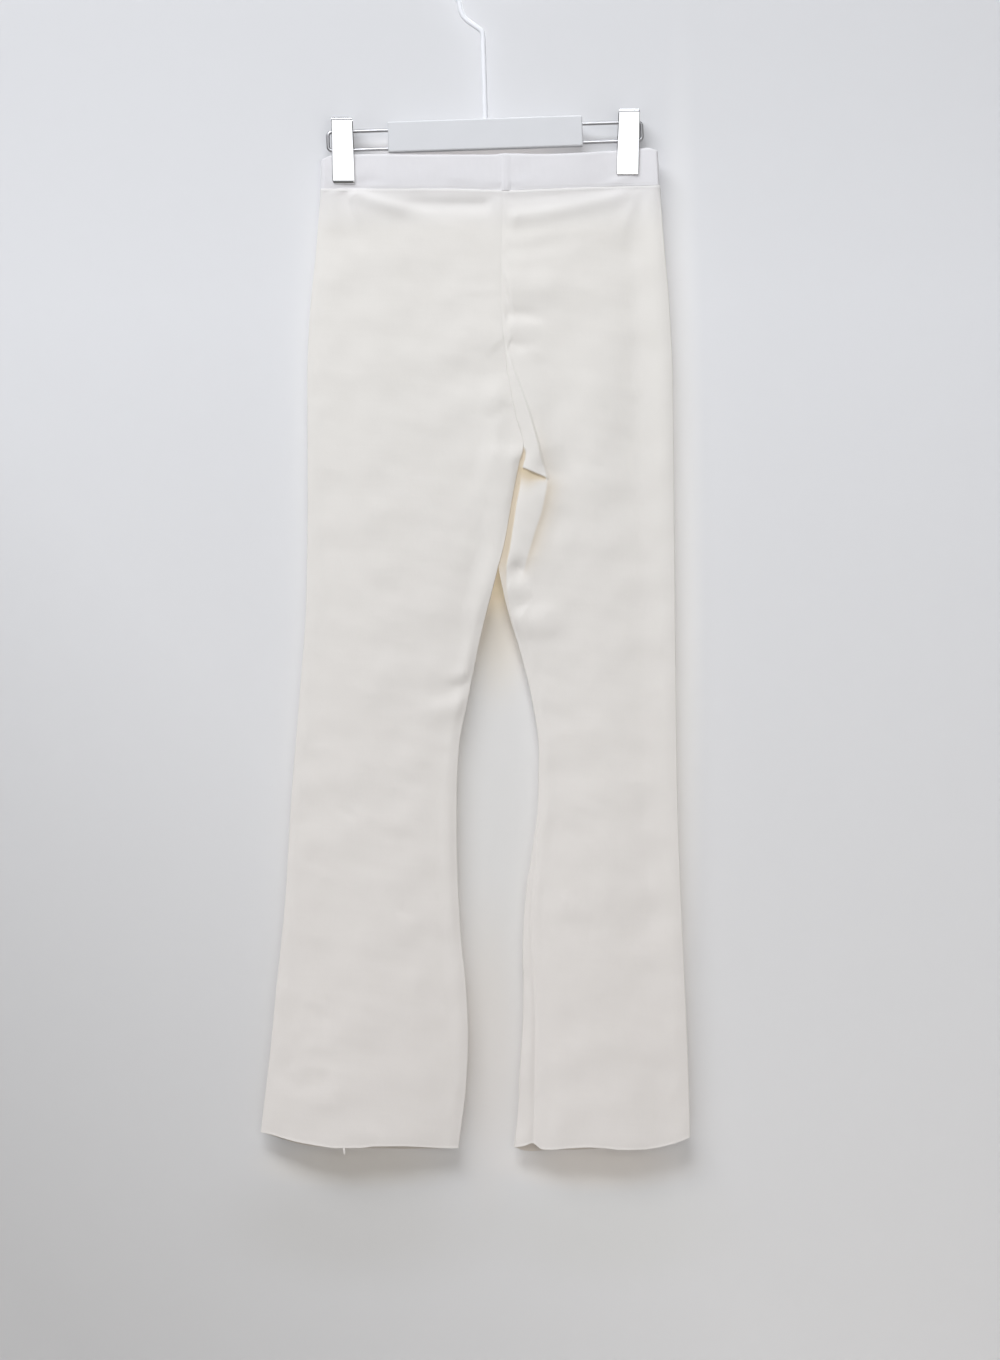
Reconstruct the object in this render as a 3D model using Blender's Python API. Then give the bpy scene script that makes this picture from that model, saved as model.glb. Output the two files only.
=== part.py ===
"""Boot-cut pull-on pants hung by the waistband from a wire-and-bar clip hanger.

Metres, +Z up. The front faces -Y, and left and right are as seen from the front (left is -X).
The origin is the hang point: the inside top of the hook, where it rests on a rail.
All sizes below are in millimetres. A "drop" is a distance straight down from the hang point.
"""

import math

import bmesh
import bpy
from mathutils import Matrix

MM = 0.001

# ---------------------------------------------------------------- driving sizes, mm
CLOTH = 1.2             # wall of one layer of the brushed jersey
BAND_CLOTH = 2.4        # wall of the waistband: jersey folded over elastic
SEAM = 0.3              # clear gap between two pieces that are sewn together
HALF_SEAM = SEAM / 2

WIRE_HOOK = 5.0         # coated wire of the hook
WIRE_RAIL = 3.4         # plated wire of the two rails
HOOK_RADIUS = 29.0      # centre line of the hook's arc
BAR_LENGTH, BAR_HEIGHT, BAR_DEPTH = 194.5, 30.4, 9.0
BAR_CENTRE = (1.3, 174.4)          # across, drop
BAR_TILT = math.radians(1.9)       # the right end hangs higher
RAIL_SPREAD = 18.6      # between the two wires of a rail
RAIL_BELOW = 2.0        # the rails' middle, below the bar's middle
CLIP_LENGTH, CLIP_TOP, CLIP_BOTTOM, CLIP_SHEET = 64.5, 20.5, 23.0, 1.1

# ---------------------------------------------------------------- tables, mm
# Garment outline at the sides.      drop, left side, right side
SIDES = (
    (193, -162.2, 174.0),
    (200, -162.8, 174.8),
    (230, -163.6, 176.3),
    (265, -166.0, 178.5),
    (290, -168.0, 180.5),
    (340, -173.2, 185.0),
    (365, -175.0, 186.5),
    (415, -176.8, 188.7),
    (540, -176.5, 190.0),
    (640, -178.0, 191.0),
    (740, -185.0, 192.0),
    (840, -193.0, 193.5),
    (940, -199.0, 197.0),
    (1040, -209.0, 201.5),
    (1115, -216.0, 204.3),
    (1188, -223.5, 206.0),
)

# Inner edges of the two legs. Above the crotch both follow the centre-front seam.
#  drop, left leg's inner edge, right leg's inner edge
INNER = (
    (190, 19.0, 19.0),
    (240, 18.3, 18.3),
    (340, 16.8, 16.8),
    (370, 18.4, 18.4),
    (392, 21.2, 21.2),
    (410, 22.8, 22.8),
    (425, 25.2, 25.2),
    (440, 28.0, 28.0),
    (460, 32.4, 32.4),
    (488, 39.6, 39.8),
    (500, 36.3, 36.8),
    (510, 34.2, 34.7),
    (540, 28.4, 28.9),
    (570, 23.4, 23.9),
    (590, 19.3, 19.8),
    (600, 16.7, 17.3),
    (607, 14.5, 15.3),
    (615, 12.6, 15.9),
    (630, 8.8, 18.8),
    (640, 6.2, 20.9),
    (660, 1.0, 26.4),
    (690, -6.0, 35.6),
    (740, -16.0, 47.8),
    (790, -25.0, 54.6),
    (840, -27.0, 54.0),
    (890, -26.8, 48.2),
    (965, -23.6, 39.2),
    (1040, -16.8, 38.8),
    (1078, -15.6, 37.6),
    (1115, -17.0, 35.8),
    (1188, -25.5, 30.5),
)

# Half of the garment's depth, out to the cloth's face.   drop, half depth
DEPTH = (
    (190, 4.9),
    (205, 5.4),
    (240, 6.6),
    (340, 7.8),
    (440, 8.6),
    (540, 8.4),
    (640, 8.0),
    (790, 7.4),
    (940, 8.0),
    (1040, 9.0),
    (1140, 10.6),
    (1190, 11.6),
)

# Rows across each panel, from the waistband seam to the hem.
ROWS = (
    230, 238, 250, 268, 292, 322, 352, 376, 394, 412, 432, 454, 472, 488,
    500, 511, 519, 534, 552, 572, 592, 610, 630, 656, 690, 730, 775, 820,
    870, 920, 970, 1020, 1066, 1108, 1140, 1166, 1186,
)

# The waistband's edges.   across, drop of the top edge, drop of the seam with the panels
BAND_EDGE = (
    (-163.0, 196.0, 229.0),
    (-130.0, 194.5, 229.2),
    (-60.0, 195.2, 229.3),
    (10.0, 195.2, 230.8),
    (20.0, 194.0, 231.3),
    (60.0, 194.6, 229.6),
    (97.0, 193.4, 228.4),
    (132.0, 190.8, 226.6),
    (174.0, 187.6, 226.0),
)

# How far the raw hem dips under the lowest row.
#  share of the way from the side to the inner edge, left front, left back, right front, right back
HEM = (
    (0.00, -14.0, -14.0, -10.0, -10.0),
    (0.055, -12.0, -10.0, -6.0, -7.0),
    (0.11, -9.0, -6.0, -3.0, -4.0),
    (0.18, -5.6, -1.5, 0.0, -1.0),
    (0.28, -2.4, 2.2, 2.0, 1.0),
    (0.39, 0.0, 4.0, 2.0, 2.4),
    (0.50, 0.0, 4.4, 0.0, 4.0),
    (0.58, -1.6, 4.4, -0.4, 5.0),
    (0.69, -1.6, 4.6, 0.6, 5.4),
    (0.77, -1.0, 4.2, 2.0, 5.0),
    (0.84, 0.0, 3.6, 1.0, 4.0),
    (0.90, 1.0, 3.0, -5.0, 3.0),
    (0.95, 1.6, 2.4, -2.0, 1.5),
    (1.00, 2.0, 2.0, 0.5, 0.5),
)

# The pleat that the spare cloth at the crotch makes on the right front.
#  drop, how far its edge lies from the seam, how far it stands proud
PLEAT = (
    (385, 4.0, 0.0),
    (406, 5.6, 1.2),
    (432, 7.4, 2.6),
    (460, 10.4, 4.0),
    (488, 13.4, 5.2),
    (511, 25.0, 6.4),
    (518, 27.0, 6.0),
    (534, 27.5, 4.2),
    (552, 27.0, 3.4),
    (572, 23.6, 2.6),
    (595, 16.0, 1.2),
    (612, 12.0, 0.0),
)

# Where the right leg's inseam shows on its front: the leg has turned, and the back panel
# comes round its inner edge.   drop, distance across from the inner edge
INSEAM = (
    (800, 0.0), (840, 0.8), (875, 3.0), (940, 6.6), (991, 8.8), (1053, 12.2), (1116, 14.8), (1186, 18.4),
)

# The largest folds that the waistband's pull and the clips make. Each runs over three
# points, stands out where height is positive, and fades to nothing at both its ends.
#  layer, across and drop of start, middle and end, half width, height
FOLDS = (
    ("front", -130, 233, -60, 252, 12, 256, 7.0, 1.6),
    ("front", -120, 240, -70, 264, 0, 263, 7.0, -1.5),
    ("front", 130, 231, 80, 247, 26, 254, 7.0, 1.8),
    ("front", 112, 244, 60, 262, 22, 264, 6.5, -1.6),
    ("front", 26, 346, 50, 342, 82, 344, 11.0, -1.6),
    ("front", 152, 232, 158, 290, 164, 380, 12.0, 1.4),
    ("front", -142, 232, -134, 300, -128, 380, 13.0, 1.2),
    ("front", -2, 430, 4, 465, 14, 490, 12.0, 2.0),
    ("back", -128, 234, -50, 256, 14, 258, 8.0, 1.6),
    ("back", 130, 232, 70, 252, 22, 258, 8.0, 1.7),
    ("back", -112, 246, -50, 270, 10, 272, 8.0, -1.4),
    ("back", 112, 244, 66, 266, 24, 270, 8.0, -1.4),
    ("back", 0, 400, -30, 450, -80, 490, 14.0, 1.8),
    ("back", 34, 404, 64, 452, 112, 490, 14.0, 1.8),
)

# Columns across a panel: the shares of each stretch at which its points lie.
SIDE_ROUND = (0.0, 0.25, 0.5, 0.75)             # round the side
FLAT = (0.0, 0.14, 0.29, 0.44, 0.59, 0.74, 0.88)  # across the flat
INNER_ROUND = (0.0, 0.33, 0.66, 1.0)            # round the inner edge, or in to the seam
BACK_FLAT = (0.0, 0.2, 0.4, 0.6, 0.8)
BACK_ROUND = (0.0, 0.2, 0.4, 0.6, 0.8, 1.0)

# Materials.                name, colour, roughness, metallic
FINISHES = {
    "jersey": ((0.80, 0.78, 0.73), 0.9, 0.0),
    "band": ((0.80, 0.79, 0.78), 0.9, 0.0),
    "bar": ((0.78, 0.79, 0.81), 0.45, 0.0),
    "coated_wire": ((0.86, 0.87, 0.92), 0.35, 0.0),
    "plated_steel": ((0.75, 0.76, 0.78), 0.12, 1.0),
}


# ---------------------------------------------------------------- small helpers
def column(table, at, index):
    """Smooth reading of one column of a table at a value of its first column."""
    xs = [row[0] for row in table]
    ys = [row[index] for row in table]
    if at <= xs[0]:
        return ys[0]
    if at >= xs[-1]:
        return ys[-1]
    i = max(k for k in range(len(xs) - 1) if xs[k] <= at)

    def slope(k):
        if k in (0, len(xs) - 1):
            j = min(k, len(xs) - 2)
            return (ys[j + 1] - ys[j]) / (xs[j + 1] - xs[j])
        before = (ys[k] - ys[k - 1]) / (xs[k] - xs[k - 1])
        after = (ys[k + 1] - ys[k]) / (xs[k + 1] - xs[k])
        if before * after <= 0:
            return 0.0
        return 2 * before * after / (before + after)

    step = xs[i + 1] - xs[i]
    t = (at - xs[i]) / step
    return (
        (2 * t**3 - 3 * t**2 + 1) * ys[i]
        + (t**3 - 2 * t**2 + t) * step * slope(i)
        + (3 * t**2 - 2 * t**3) * ys[i + 1]
        + (t**3 - t**2) * step * slope(i + 1)
    )


def ramp(start, end, at):
    """0 before start, 1 after end, smooth between."""
    t = min(max((at - start) / (end - start), 0.0), 1.0)
    return t * t * (3 - 2 * t)


def mix(a, b, t):
    return a + (b - a) * t


def finish(name):
    material = bpy.data.materials.get(name)
    if material:
        return material
    colour, roughness, metallic = FINISHES[name]
    material = bpy.data.materials.new(name)
    material.use_nodes = True
    shader = material.node_tree.nodes["Principled BSDF"]
    shader.inputs["Base Color"].default_value = (*colour, 1)
    shader.inputs["Roughness"].default_value = roughness
    shader.inputs["Metallic"].default_value = metallic
    material.diffuse_color = (*colour, 1)
    return material


def add_object(name, data, material):
    piece = bpy.data.objects.new(name, data)
    bpy.context.scene.collection.objects.link(piece)
    data.materials.append(finish(material))
    return piece


def point(across, y, drop):
    return (across * MM, y * MM, -drop * MM)


# ---------------------------------------------------------------- cloth
def folds(layer, across, drop):
    """How far the cloth stands out of its plain form at a point of one layer."""
    out = 0.0
    for which, x0, d0, x1, d1, x2, d2, width, height in FOLDS:
        if which != layer:
            continue
        best, place = 1e9, 0.0
        for k in range(17):
            t = k / 16
            a, b, c = (1 - t) ** 2, 2 * t * (1 - t), t * t
            away = math.hypot(across - (a * x0 + b * x1 + c * x2), drop - (a * d0 + b * d1 + c * d2))
            if away < best:
                best, place = away, t
        out += height * math.exp(-((best / width) ** 2)) * math.sin(math.pi * mix(0.12, 0.88, place)) ** 0.7
    return out


def split(drop):
    """0 where the two halves are joined at the centre seams, 1 where they are separate legs."""
    return ramp(470, 500, drop)


def pleated(drop):
    return ramp(380, 408, drop) * (1 - ramp(590, 614, drop))


def round_edge(edge, inward, radius, travel):
    """A point of a flat tube's section, at a distance along the cloth from its edge: positive
    travel goes round to the front. inward is +1 where the tube lies on the +X side of the edge."""
    quarter = radius * math.pi / 2
    side = 1 if travel >= 0 else -1
    along = abs(travel)
    if along <= quarter:
        angle = along / radius
        return edge + inward * radius * (1 - math.cos(angle)), -side * radius * math.sin(angle)
    return edge + inward * (radius + along - quarter), -side * radius


def inseam(half, drop, depth):
    """How far the inseam lies from the leg's inner edge: across, and along the cloth."""
    across = column(INSEAM, drop, 1) if half == "right" and drop > INSEAM[0][0] else 0.0
    if across < depth:
        return across, depth * math.acos(1 - across / depth)
    return across, depth * math.pi / 2 + across - depth


def section(half, layer, drop):
    """One row of a panel's outer face, from the side seam to the centre seam or inseam."""
    inward = 1 if half == "left" else -1       # from the side towards the middle
    side = column(SIDES, drop, 1 if half == "left" else 2)
    inner = column(INNER, drop, 1 if half == "left" else 2) - inward * HALF_SEAM * (1 - split(drop))
    depth = column(DEPTH, drop, 1)
    face = -1 if layer == "front" else 1
    quarter = depth * math.pi / 2
    apart = split(drop)
    seam_across, seam_shift = inseam(half, drop, depth)

    flats = FLAT if layer == "front" else BACK_FLAT
    rounds = INNER_ROUND if layer == "front" else BACK_ROUND
    row = []
    for share in SIDE_ROUND:
        x, y = round_edge(side, inward, depth, quarter * share)
        row.append((x, -y * face))
    flat_from = side + inward * depth
    reach = quarter                            # cloth between the flat's end and the inner edge
    flat_to = mix(inner - inward * quarter, inner - inward * depth, apart)
    pleat = pleated(drop) if (half, layer) == ("right", "front") else 0.0
    edge_off = column(PLEAT, drop, 1)
    if pleat:
        flat_to = mix(flat_to, inner - inward * (edge_off + 16), pleat)
    if layer == "front" and seam_shift:
        flat_to -= inward * seam_across
    for share in flats:
        row.append((mix(flat_from, flat_to, share), depth * face))
    for k, share in enumerate(rounds):
        travel = reach * (1 - share)
        if seam_shift:
            # the inseam lies on the front: the front panel stops short and the back comes round
            if layer == "front":
                travel = reach * (1 - share) + seam_shift
            else:
                travel = mix(reach, -seam_shift, share)
        joined_x, joined_y = inner - inward * travel, depth * face
        x, y = round_edge(inner, -inward, depth, travel)
        y = -y * face
        x, y = mix(joined_x, x, apart), mix(joined_y, y, apart)
        if pleat and k < 3:
            # foot of the fold, its edge, and the strip between the edge and the seam
            away = (edge_off + 5, edge_off, edge_off * 0.5)[k]
            lift = column(PLEAT, drop, 2) * (0.0, 1.0, 0.62)[k]
            rounded = mix(1.0, 0.86, apart) if k == 2 else 1.0
            x = mix(x, inner - inward * away, pleat)
            y = mix(y, face * (depth * rounded + lift), pleat)
        row.append((x, y))
    return row


def offset_row(row, wall, half, layer, drop):
    """The inner face of a row: each point moved in along the section's own normal."""
    inward = 1 if half == "left" else -1
    face = -1 if layer == "front" else 1
    out = []
    for k, (x, y) in enumerate(row):
        before, after = row[max(k - 1, 0)], row[min(k + 1, len(row) - 1)]
        tx, ty = after[0] - before[0], after[1] - before[1]
        size = math.hypot(tx, ty)
        nx, ny = ty / size, -tx / size
        if ny * face < 0 or (abs(ny) < 1e-6 and k < 4 and nx * inward > 0):
            nx, ny = -nx, -ny
        if k == 0:
            nx, ny = -inward, 0.0
        if k == len(row) - 1:
            apart = split(drop)
            depth = column(DEPTH, drop, 1)
            bend = min(inseam(half, drop, depth)[1] / depth, math.pi / 2)
            # the seam's own outward direction: sideways on a leg's edge, forward on the trunk
            nx = inward * apart * math.cos(bend)
            ny = mix(face, (-1 if bend > 0 else face) * math.sin(bend), apart)
            size = math.hypot(nx, ny)
            nx, ny = nx / size, ny / size
        out.append((x - nx * wall, y - ny * wall))
    return out


def shell(name, outer, inner, material):
    """A closed wall from two grids of points, one for each face."""
    mesh = bpy.data.meshes.new(name)
    work = bmesh.new()
    rows, columns = len(outer), len(outer[0])
    faces = [[[work.verts.new(p) for p in row] for row in grid] for grid in (outer, inner)]
    for r in range(rows - 1):
        for c in range(columns - 1):
            work.faces.new([faces[0][r][c], faces[0][r][c + 1], faces[0][r + 1][c + 1], faces[0][r + 1][c]])
            work.faces.new([faces[1][r][c], faces[1][r + 1][c], faces[1][r + 1][c + 1], faces[1][r][c + 1]])
    rim = [(0, c) for c in range(columns)]
    rim += [(r, columns - 1) for r in range(1, rows)]
    rim += [(rows - 1, c) for c in range(columns - 2, -1, -1)]
    rim += [(r, 0) for r in range(rows - 2, 0, -1)]
    for (r0, c0), (r1, c1) in zip(rim, rim[1:] + rim[:1]):
        work.faces.new([faces[0][r0][c0], faces[1][r0][c0], faces[1][r1][c1], faces[0][r1][c1]])
    bmesh.ops.recalc_face_normals(work, faces=work.faces)
    work.to_mesh(mesh)
    work.free()
    mesh.shade_smooth()
    mesh.set_sharp_from_angle(angle=math.radians(50))
    return add_object(name, mesh, material)


def panel(half, layer):
    """Front or back of one leg, from the waistband seam to the raw hem, with its share of the seat."""
    face = -1 if layer == "front" else 1
    hem_index = {"left": {"front": 1, "back": 2}, "right": {"front": 3, "back": 4}}[half][layer]
    outer, inner = [], []
    for drop in ROWS:
        row = section(half, layer, drop)
        back = offset_row(row, CLOTH, half, layer, drop)
        at_waist = 1 - ramp(ROWS[0], 330, drop)
        at_hem = ramp(1060, ROWS[-1], drop)
        rows = ([], [])
        side = column(SIDES, drop, 1 if half == "left" else 2)
        edge = column(INNER, drop, 1 if half == "left" else 2)
        for k, (x, y) in enumerate(row):
            share = k / (len(row) - 1)
            move = at_waist * (column(BAND_EDGE, x, 2) + SEAM - ROWS[0])
            # the strip of the back panel that comes round to the front follows the front's hem
            strip = half == "right" and layer == "back" and y < 0
            move += at_hem * column(HEM, (x - side) / (edge - side), 3 if strip else hem_index)
            still = min(1.0, 4 * share) * mix(1.0, min(1.0, 4 * (1 - share)), split(drop))
            stand = folds(layer, x, drop) * still * ramp(ROWS[0] - 1, ROWS[0] + 12, drop)
            for out, (px, py) in zip(rows, (row[k], back[k])):
                out.append(point(px, py + face * (stand + HALF_SEAM), drop + move))
        outer.append(rows[0])
        inner.append(rows[1])
    return shell(f"{layer}_{half}", outer, inner, "jersey")


def waistband(half):
    """Half of the waistband, from the centre-front seam round the side to the centre-back seam."""
    inward = 1 if half == "left" else -1
    outer, inner = [], []
    stations = (0.0, 0.16, 0.32, 0.48, 0.62, 0.74, 0.84, 1.0)
    bends = [math.radians(a) for a in (-60, -30, 0, 30, 60)]
    centre = 20.5 - inward * HALF_SEAM
    for level, (share, shrink, plump) in enumerate(
        ((0.0, 2.4, 0.92), (0.06, 0.9, 0.97), (0.2, 0.3, 1.0), (0.6, 0.1, 1.03), (0.9, 0.0, 1.0), (1.0, 0.0, 0.97))
    ):
        side_top, side_low = (-162.0, -163.5) if half == "left" else (173.4, 175.2)
        side = mix(side_top, side_low, share) + inward * shrink
        ends = []
        for t in stations:
            x = mix(centre, side + inward * 5.0, t)
            clipped = 1 - ramp(15, 50, abs(x - (-141.0 if half == "left" else 144.2)))
            ends.append((x, mix(5.4, 3.3, clipped) * plump))
        rounding = ends[-1][1]
        front = [(x, -d) for x, d in ends]
        turn = [(side + inward * 5.0 - inward * 5.0 * math.cos(a), rounding * math.sin(a)) for a in bends]
        loop = front + turn + [(x, d) for x, d in reversed(ends)]
        rows = ([], [])
        for k, (x, y) in enumerate(loop):
            before, after = loop[max(k - 1, 0)], loop[min(k + 1, len(loop) - 1)]
            tx, ty = after[0] - before[0], after[1] - before[1]
            if k in (0, len(loop) - 1):
                tx, ty = (-inward if k == 0 else inward), 0.0
            size = math.hypot(tx, ty)
            nx, ny = inward * ty / size, -inward * tx / size   # towards the inside
            thick = BAND_CLOTH * (0.92 if level == 0 else 1.0)
            drop = mix(column(BAND_EDGE, x, 1), column(BAND_EDGE, x, 2), share)
            corner = 3.2 * (1 - ramp(0, 8, abs(x - side))) * (1 - share) ** 3 if level < 4 else 0.0
            rows[0].append(point(x, y, drop + corner))
            rows[1].append(point(x + nx * thick, y + ny * thick, drop + corner))
        outer.append(rows[0])
        inner.append(rows[1])
    return shell(f"waistband_{half}", outer, inner, "band")


# ---------------------------------------------------------------- hanger
def wire(name, path, diameter, material, sides=3):
    """A round wire along a smooth curve through its points."""
    curve = bpy.data.curves.new(name, "CURVE")
    curve.dimensions = "3D"
    curve.bevel_depth = diameter / 2 * MM
    curve.bevel_resolution = sides
    curve.use_fill_caps = True
    spline = curve.splines.new("POLY")
    spline.points.add(len(path) - 1)
    for target, place in zip(spline.points, path):
        target.co = (*place, 1)
    return add_object(name, curve, material)


def tilted(along, up, y=0.0):
    """A point given along and above the bar's own middle, as the tilted bar carries it."""
    x = BAR_CENTRE[0] + along * math.cos(BAR_TILT) - up * math.sin(BAR_TILT)
    drop = BAR_CENTRE[1] - along * math.sin(BAR_TILT) - up * math.cos(BAR_TILT)
    return point(x, y, drop)


def arc(centre, radius, start, end, steps):
    """Points of an arc in the plane of the hanger: across and drop."""
    return [
        (centre[0] + radius * math.cos(a), centre[1] - radius * math.sin(a))
        for a in (math.radians(mix(start, end, k / steps)) for k in range(steps + 1))
    ]


def smooth_through(points, steps):
    """Catmull-Rom curve through points of the hanger's plane."""
    padded = [points[0], *points, points[-1]]
    out = []
    for i in range(len(points) - 1):
        a, b, c, d = padded[i : i + 4]
        for k in range(steps):
            t = k / steps
            out.append(
                tuple(
                    0.5 * (2 * b[j] + (c[j] - a[j]) * t + (2 * a[j] - 5 * b[j] + 4 * c[j] - d[j]) * t * t
                           + (3 * b[j] - a[j] - 3 * c[j] + d[j]) * t**3)
                    for j in (0, 1)
                )
            )
    return out + [points[-1]]


def hook():
    """Coated wire: out of the bar, cranked to the left, then over the top of the rail to its tip."""
    centre = (0.0, HOOK_RADIUS - WIRE_HOOK / 2)
    stem = smooth_through(
        [(1.6, 168.0), (1.2, 150.0), (0.2, 115.0), (-0.7, 86.0), (-1.0, 77.0), (-2.4, 71.5), (-7.0, 67.5),
         (-15.0, 62.0), (-20.2, 57.0), (-23.6, 49.5)], 3)
    over = arc(centre, HOOK_RADIUS, 210, -14, 22)
    path = [point(x, 0.0, drop) for x, drop in stem + over]
    return wire("hanger_hook", path, WIRE_HOOK, "coated_wire")


def rail(half):
    """Two parallel wires joined by a bend at the outer end, sliding in the bar's end."""
    inward = 1 if half == "left" else -1
    outer_end = -159.0 if half == "left" else 158.2
    radius = 4.0
    tuck = BAR_LENGTH / 2 - 14
    half_spread = RAIL_SPREAD / 2
    bend = outer_end + inward * (WIRE_RAIL / 2 + radius)
    path = [(-inward * tuck, half_spread)]
    path += [(-inward * (BAR_LENGTH / 2 + 3), half_spread)]
    for start, up in ((90, half_spread - radius), (180, -half_spread + radius)):
        for k in range(6):
            a = math.radians(start + 90 * k / 5)
            path.append((bend + inward * radius * math.cos(a), up + radius * math.sin(a)))
    path += [(-inward * (BAR_LENGTH / 2 + 3), -half_spread), (-inward * tuck, -half_spread)]
    return wire(f"hanger_rail_{half}", [tilted(a, u - RAIL_BELOW) for a, u in path], WIRE_RAIL, "plated_steel", 2)


def bar():
    """Flat bar with soft edges, drilled for the rails at its ends and for the hook at its top."""
    mesh = bpy.data.meshes.new("hanger_bar")
    work = bmesh.new()
    bmesh.ops.create_cube(work, size=1)
    bmesh.ops.scale(work, vec=(BAR_LENGTH * MM, BAR_DEPTH * MM, BAR_HEIGHT * MM), verts=work.verts)
    bmesh.ops.bevel(work, geom=work.edges[:], offset=1.3 * MM, segments=2, affect="EDGES", profile=0.5)
    bmesh.ops.rotate(work, verts=work.verts, matrix=Matrix.Rotation(-BAR_TILT, 3, "Y"))
    bmesh.ops.translate(work, verts=work.verts, vec=point(BAR_CENTRE[0], 0.0, BAR_CENTRE[1]))
    work.to_mesh(mesh)
    work.free()
    piece = add_object("hanger_bar", mesh, "bar")
    holes = []
    for end in (-1, 1):
        for up in (RAIL_SPREAD / 2 - RAIL_BELOW, -RAIL_SPREAD / 2 - RAIL_BELOW):
            holes.append((tilted(end * (BAR_LENGTH / 2 - 15), up), tilted(end * (BAR_LENGTH / 2 + 5), up), WIRE_RAIL))
    holes.append((point(1.62, 0.0, 169.0), point(1.0, 0.0, 140.0), WIRE_HOOK))
    for k, (start, end, size) in enumerate(holes):
        cutter = wire(f"hole_{k}", [start, end], size + 0.8, "bar", 3)
        flat = bpy.data.meshes.new_from_object(cutter.evaluated_get(bpy.context.evaluated_depsgraph_get()))
        bpy.data.objects.remove(cutter)
        tool = bpy.data.objects.new(f"hole_{k}", flat)
        bpy.context.scene.collection.objects.link(tool)
        weld = tool.modifiers.new("weld", "WELD")
        weld.merge_threshold = 0.00001
        tool.hide_render = True
        tool.display_type = "WIRE"
        cut = piece.modifiers.new(f"drill_{k}", "BOOLEAN")
        cut.operation = "DIFFERENCE"
        cut.solver = "EXACT"
        cut.object = tool
    return piece


def clip(half):
    """A strip of spring steel folded over the rail, its two jaws closed on the waistband."""
    middle, top = (-141.0, 157.0) if half == "left" else (144.2, 149.4)
    lean = 2.0 if half == "left" else -2.0      # the jaws sit a little nearer the middle than the fold
    # half of the folded strip, front side.   below the fold's top, y of the outer face
    profile = ((0.0, 0.0), (0.25, -2.4), (1.3, -4.6), (3.4, -6.0), (8.0, -6.6), (22.0, -6.4),
               (38.0, -5.5), (52.0, -4.9), (60.0, -4.85), (CLIP_LENGTH, -5.3))
    inner = ((CLIP_SHEET, 0.0), (1.35, -1.9), (2.2, -3.7), (3.9, -4.9), (8.0, -5.5), (22.0, -5.3),
             (38.0, -4.4), (52.0, -3.75), (60.0, -3.75), (CLIP_LENGTH, -4.2))
    loop = [(d, y) for d, y in profile] + [(d, y) for d, y in reversed(inner)]
    loop += [(d, -y) for d, y in inner[1:]] + [(d, -y) for d, y in reversed(profile[1:])]
    mesh = bpy.data.meshes.new(f"clip_{half}")
    work = bmesh.new()
    levels = []
    for share in (-1.0, -0.86, 0.0, 0.86, 1.0):
        ring = []
        for d, y in loop:
            wide = mix(CLIP_TOP, CLIP_BOTTOM, ramp(0, CLIP_LENGTH, d)) / 2
            # the strip is a little dished, and its edges are eased
            dish = 0.0 if abs(share) > 0.9 else 0.12
            x = middle + lean * (d / CLIP_LENGTH - 0.5) + share * wide
            ring.append(work.verts.new(point(x, y + (dish if y > 0 else -dish if y < 0 else 0.0), top + d)))
        levels.append(ring)
    count = len(loop)
    for a, b in zip(levels, levels[1:]):
        for k in range(count):
            n = (k + 1) % count
            work.faces.new([a[k], a[n], b[n], b[k]])
    for ring in (levels[0], levels[-1]):
        half_count = len(profile)
        # end faces as quads across the strip's thickness
        for k in range(half_count - 1):
            work.faces.new([ring[k], ring[k + 1], ring[2 * half_count - 2 - k], ring[2 * half_count - 1 - k]])
        base = 2 * half_count - 1
        back_inner = [ring[base]] + ring[2 * half_count : 3 * half_count - 1]
        back_outer = [ring[0]] + list(reversed(ring[3 * half_count - 1 :]))
        for k in range(half_count - 1):
            work.faces.new([back_inner[k], back_inner[k + 1], back_outer[k + 1], back_outer[k]])
    bmesh.ops.recalc_face_normals(work, faces=work.faces)
    work.to_mesh(mesh)
    work.free()
    mesh.shade_smooth()
    mesh.set_sharp_from_angle(angle=math.radians(40))
    return add_object(f"clip_{half}", mesh, "plated_steel")


def main():
    for old in list(bpy.data.objects):
        bpy.data.objects.remove(old, do_unlink=True)
    for half in ("left", "right"):
        waistband(half)
        for layer in ("front", "back"):
            panel(half, layer)
        rail(half)
        clip(half)
    bar()
    hook()


main()
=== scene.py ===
"""Looks of the boot-cut pants on their clip hanger.

The frame is in metres, +Z up, front facing -Y, origin at the hang point. The cloth tables here are
in "view" coordinates: u across and v down, in millimetres, from the upper left corner of the front
view, so u = 484 + across and v = drop - 40, where across and drop are measured from the hang point.
"""
import math
import random

import bmesh
import bpy
import numpy as np
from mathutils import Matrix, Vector


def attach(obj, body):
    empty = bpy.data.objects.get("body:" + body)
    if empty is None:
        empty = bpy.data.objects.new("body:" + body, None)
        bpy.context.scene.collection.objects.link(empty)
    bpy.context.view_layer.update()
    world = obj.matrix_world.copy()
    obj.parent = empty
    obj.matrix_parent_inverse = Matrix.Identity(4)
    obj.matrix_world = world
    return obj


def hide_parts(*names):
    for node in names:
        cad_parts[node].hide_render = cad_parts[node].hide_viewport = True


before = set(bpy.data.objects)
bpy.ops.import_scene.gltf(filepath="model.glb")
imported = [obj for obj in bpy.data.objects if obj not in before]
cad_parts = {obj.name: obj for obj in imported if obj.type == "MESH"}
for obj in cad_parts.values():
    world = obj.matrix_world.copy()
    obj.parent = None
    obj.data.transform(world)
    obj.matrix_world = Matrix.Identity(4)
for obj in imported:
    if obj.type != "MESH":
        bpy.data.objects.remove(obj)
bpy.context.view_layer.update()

MM = 0.001
VIEW_U, VIEW_V = 484.0, -40.0        # the hang point, in view coordinates

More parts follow.
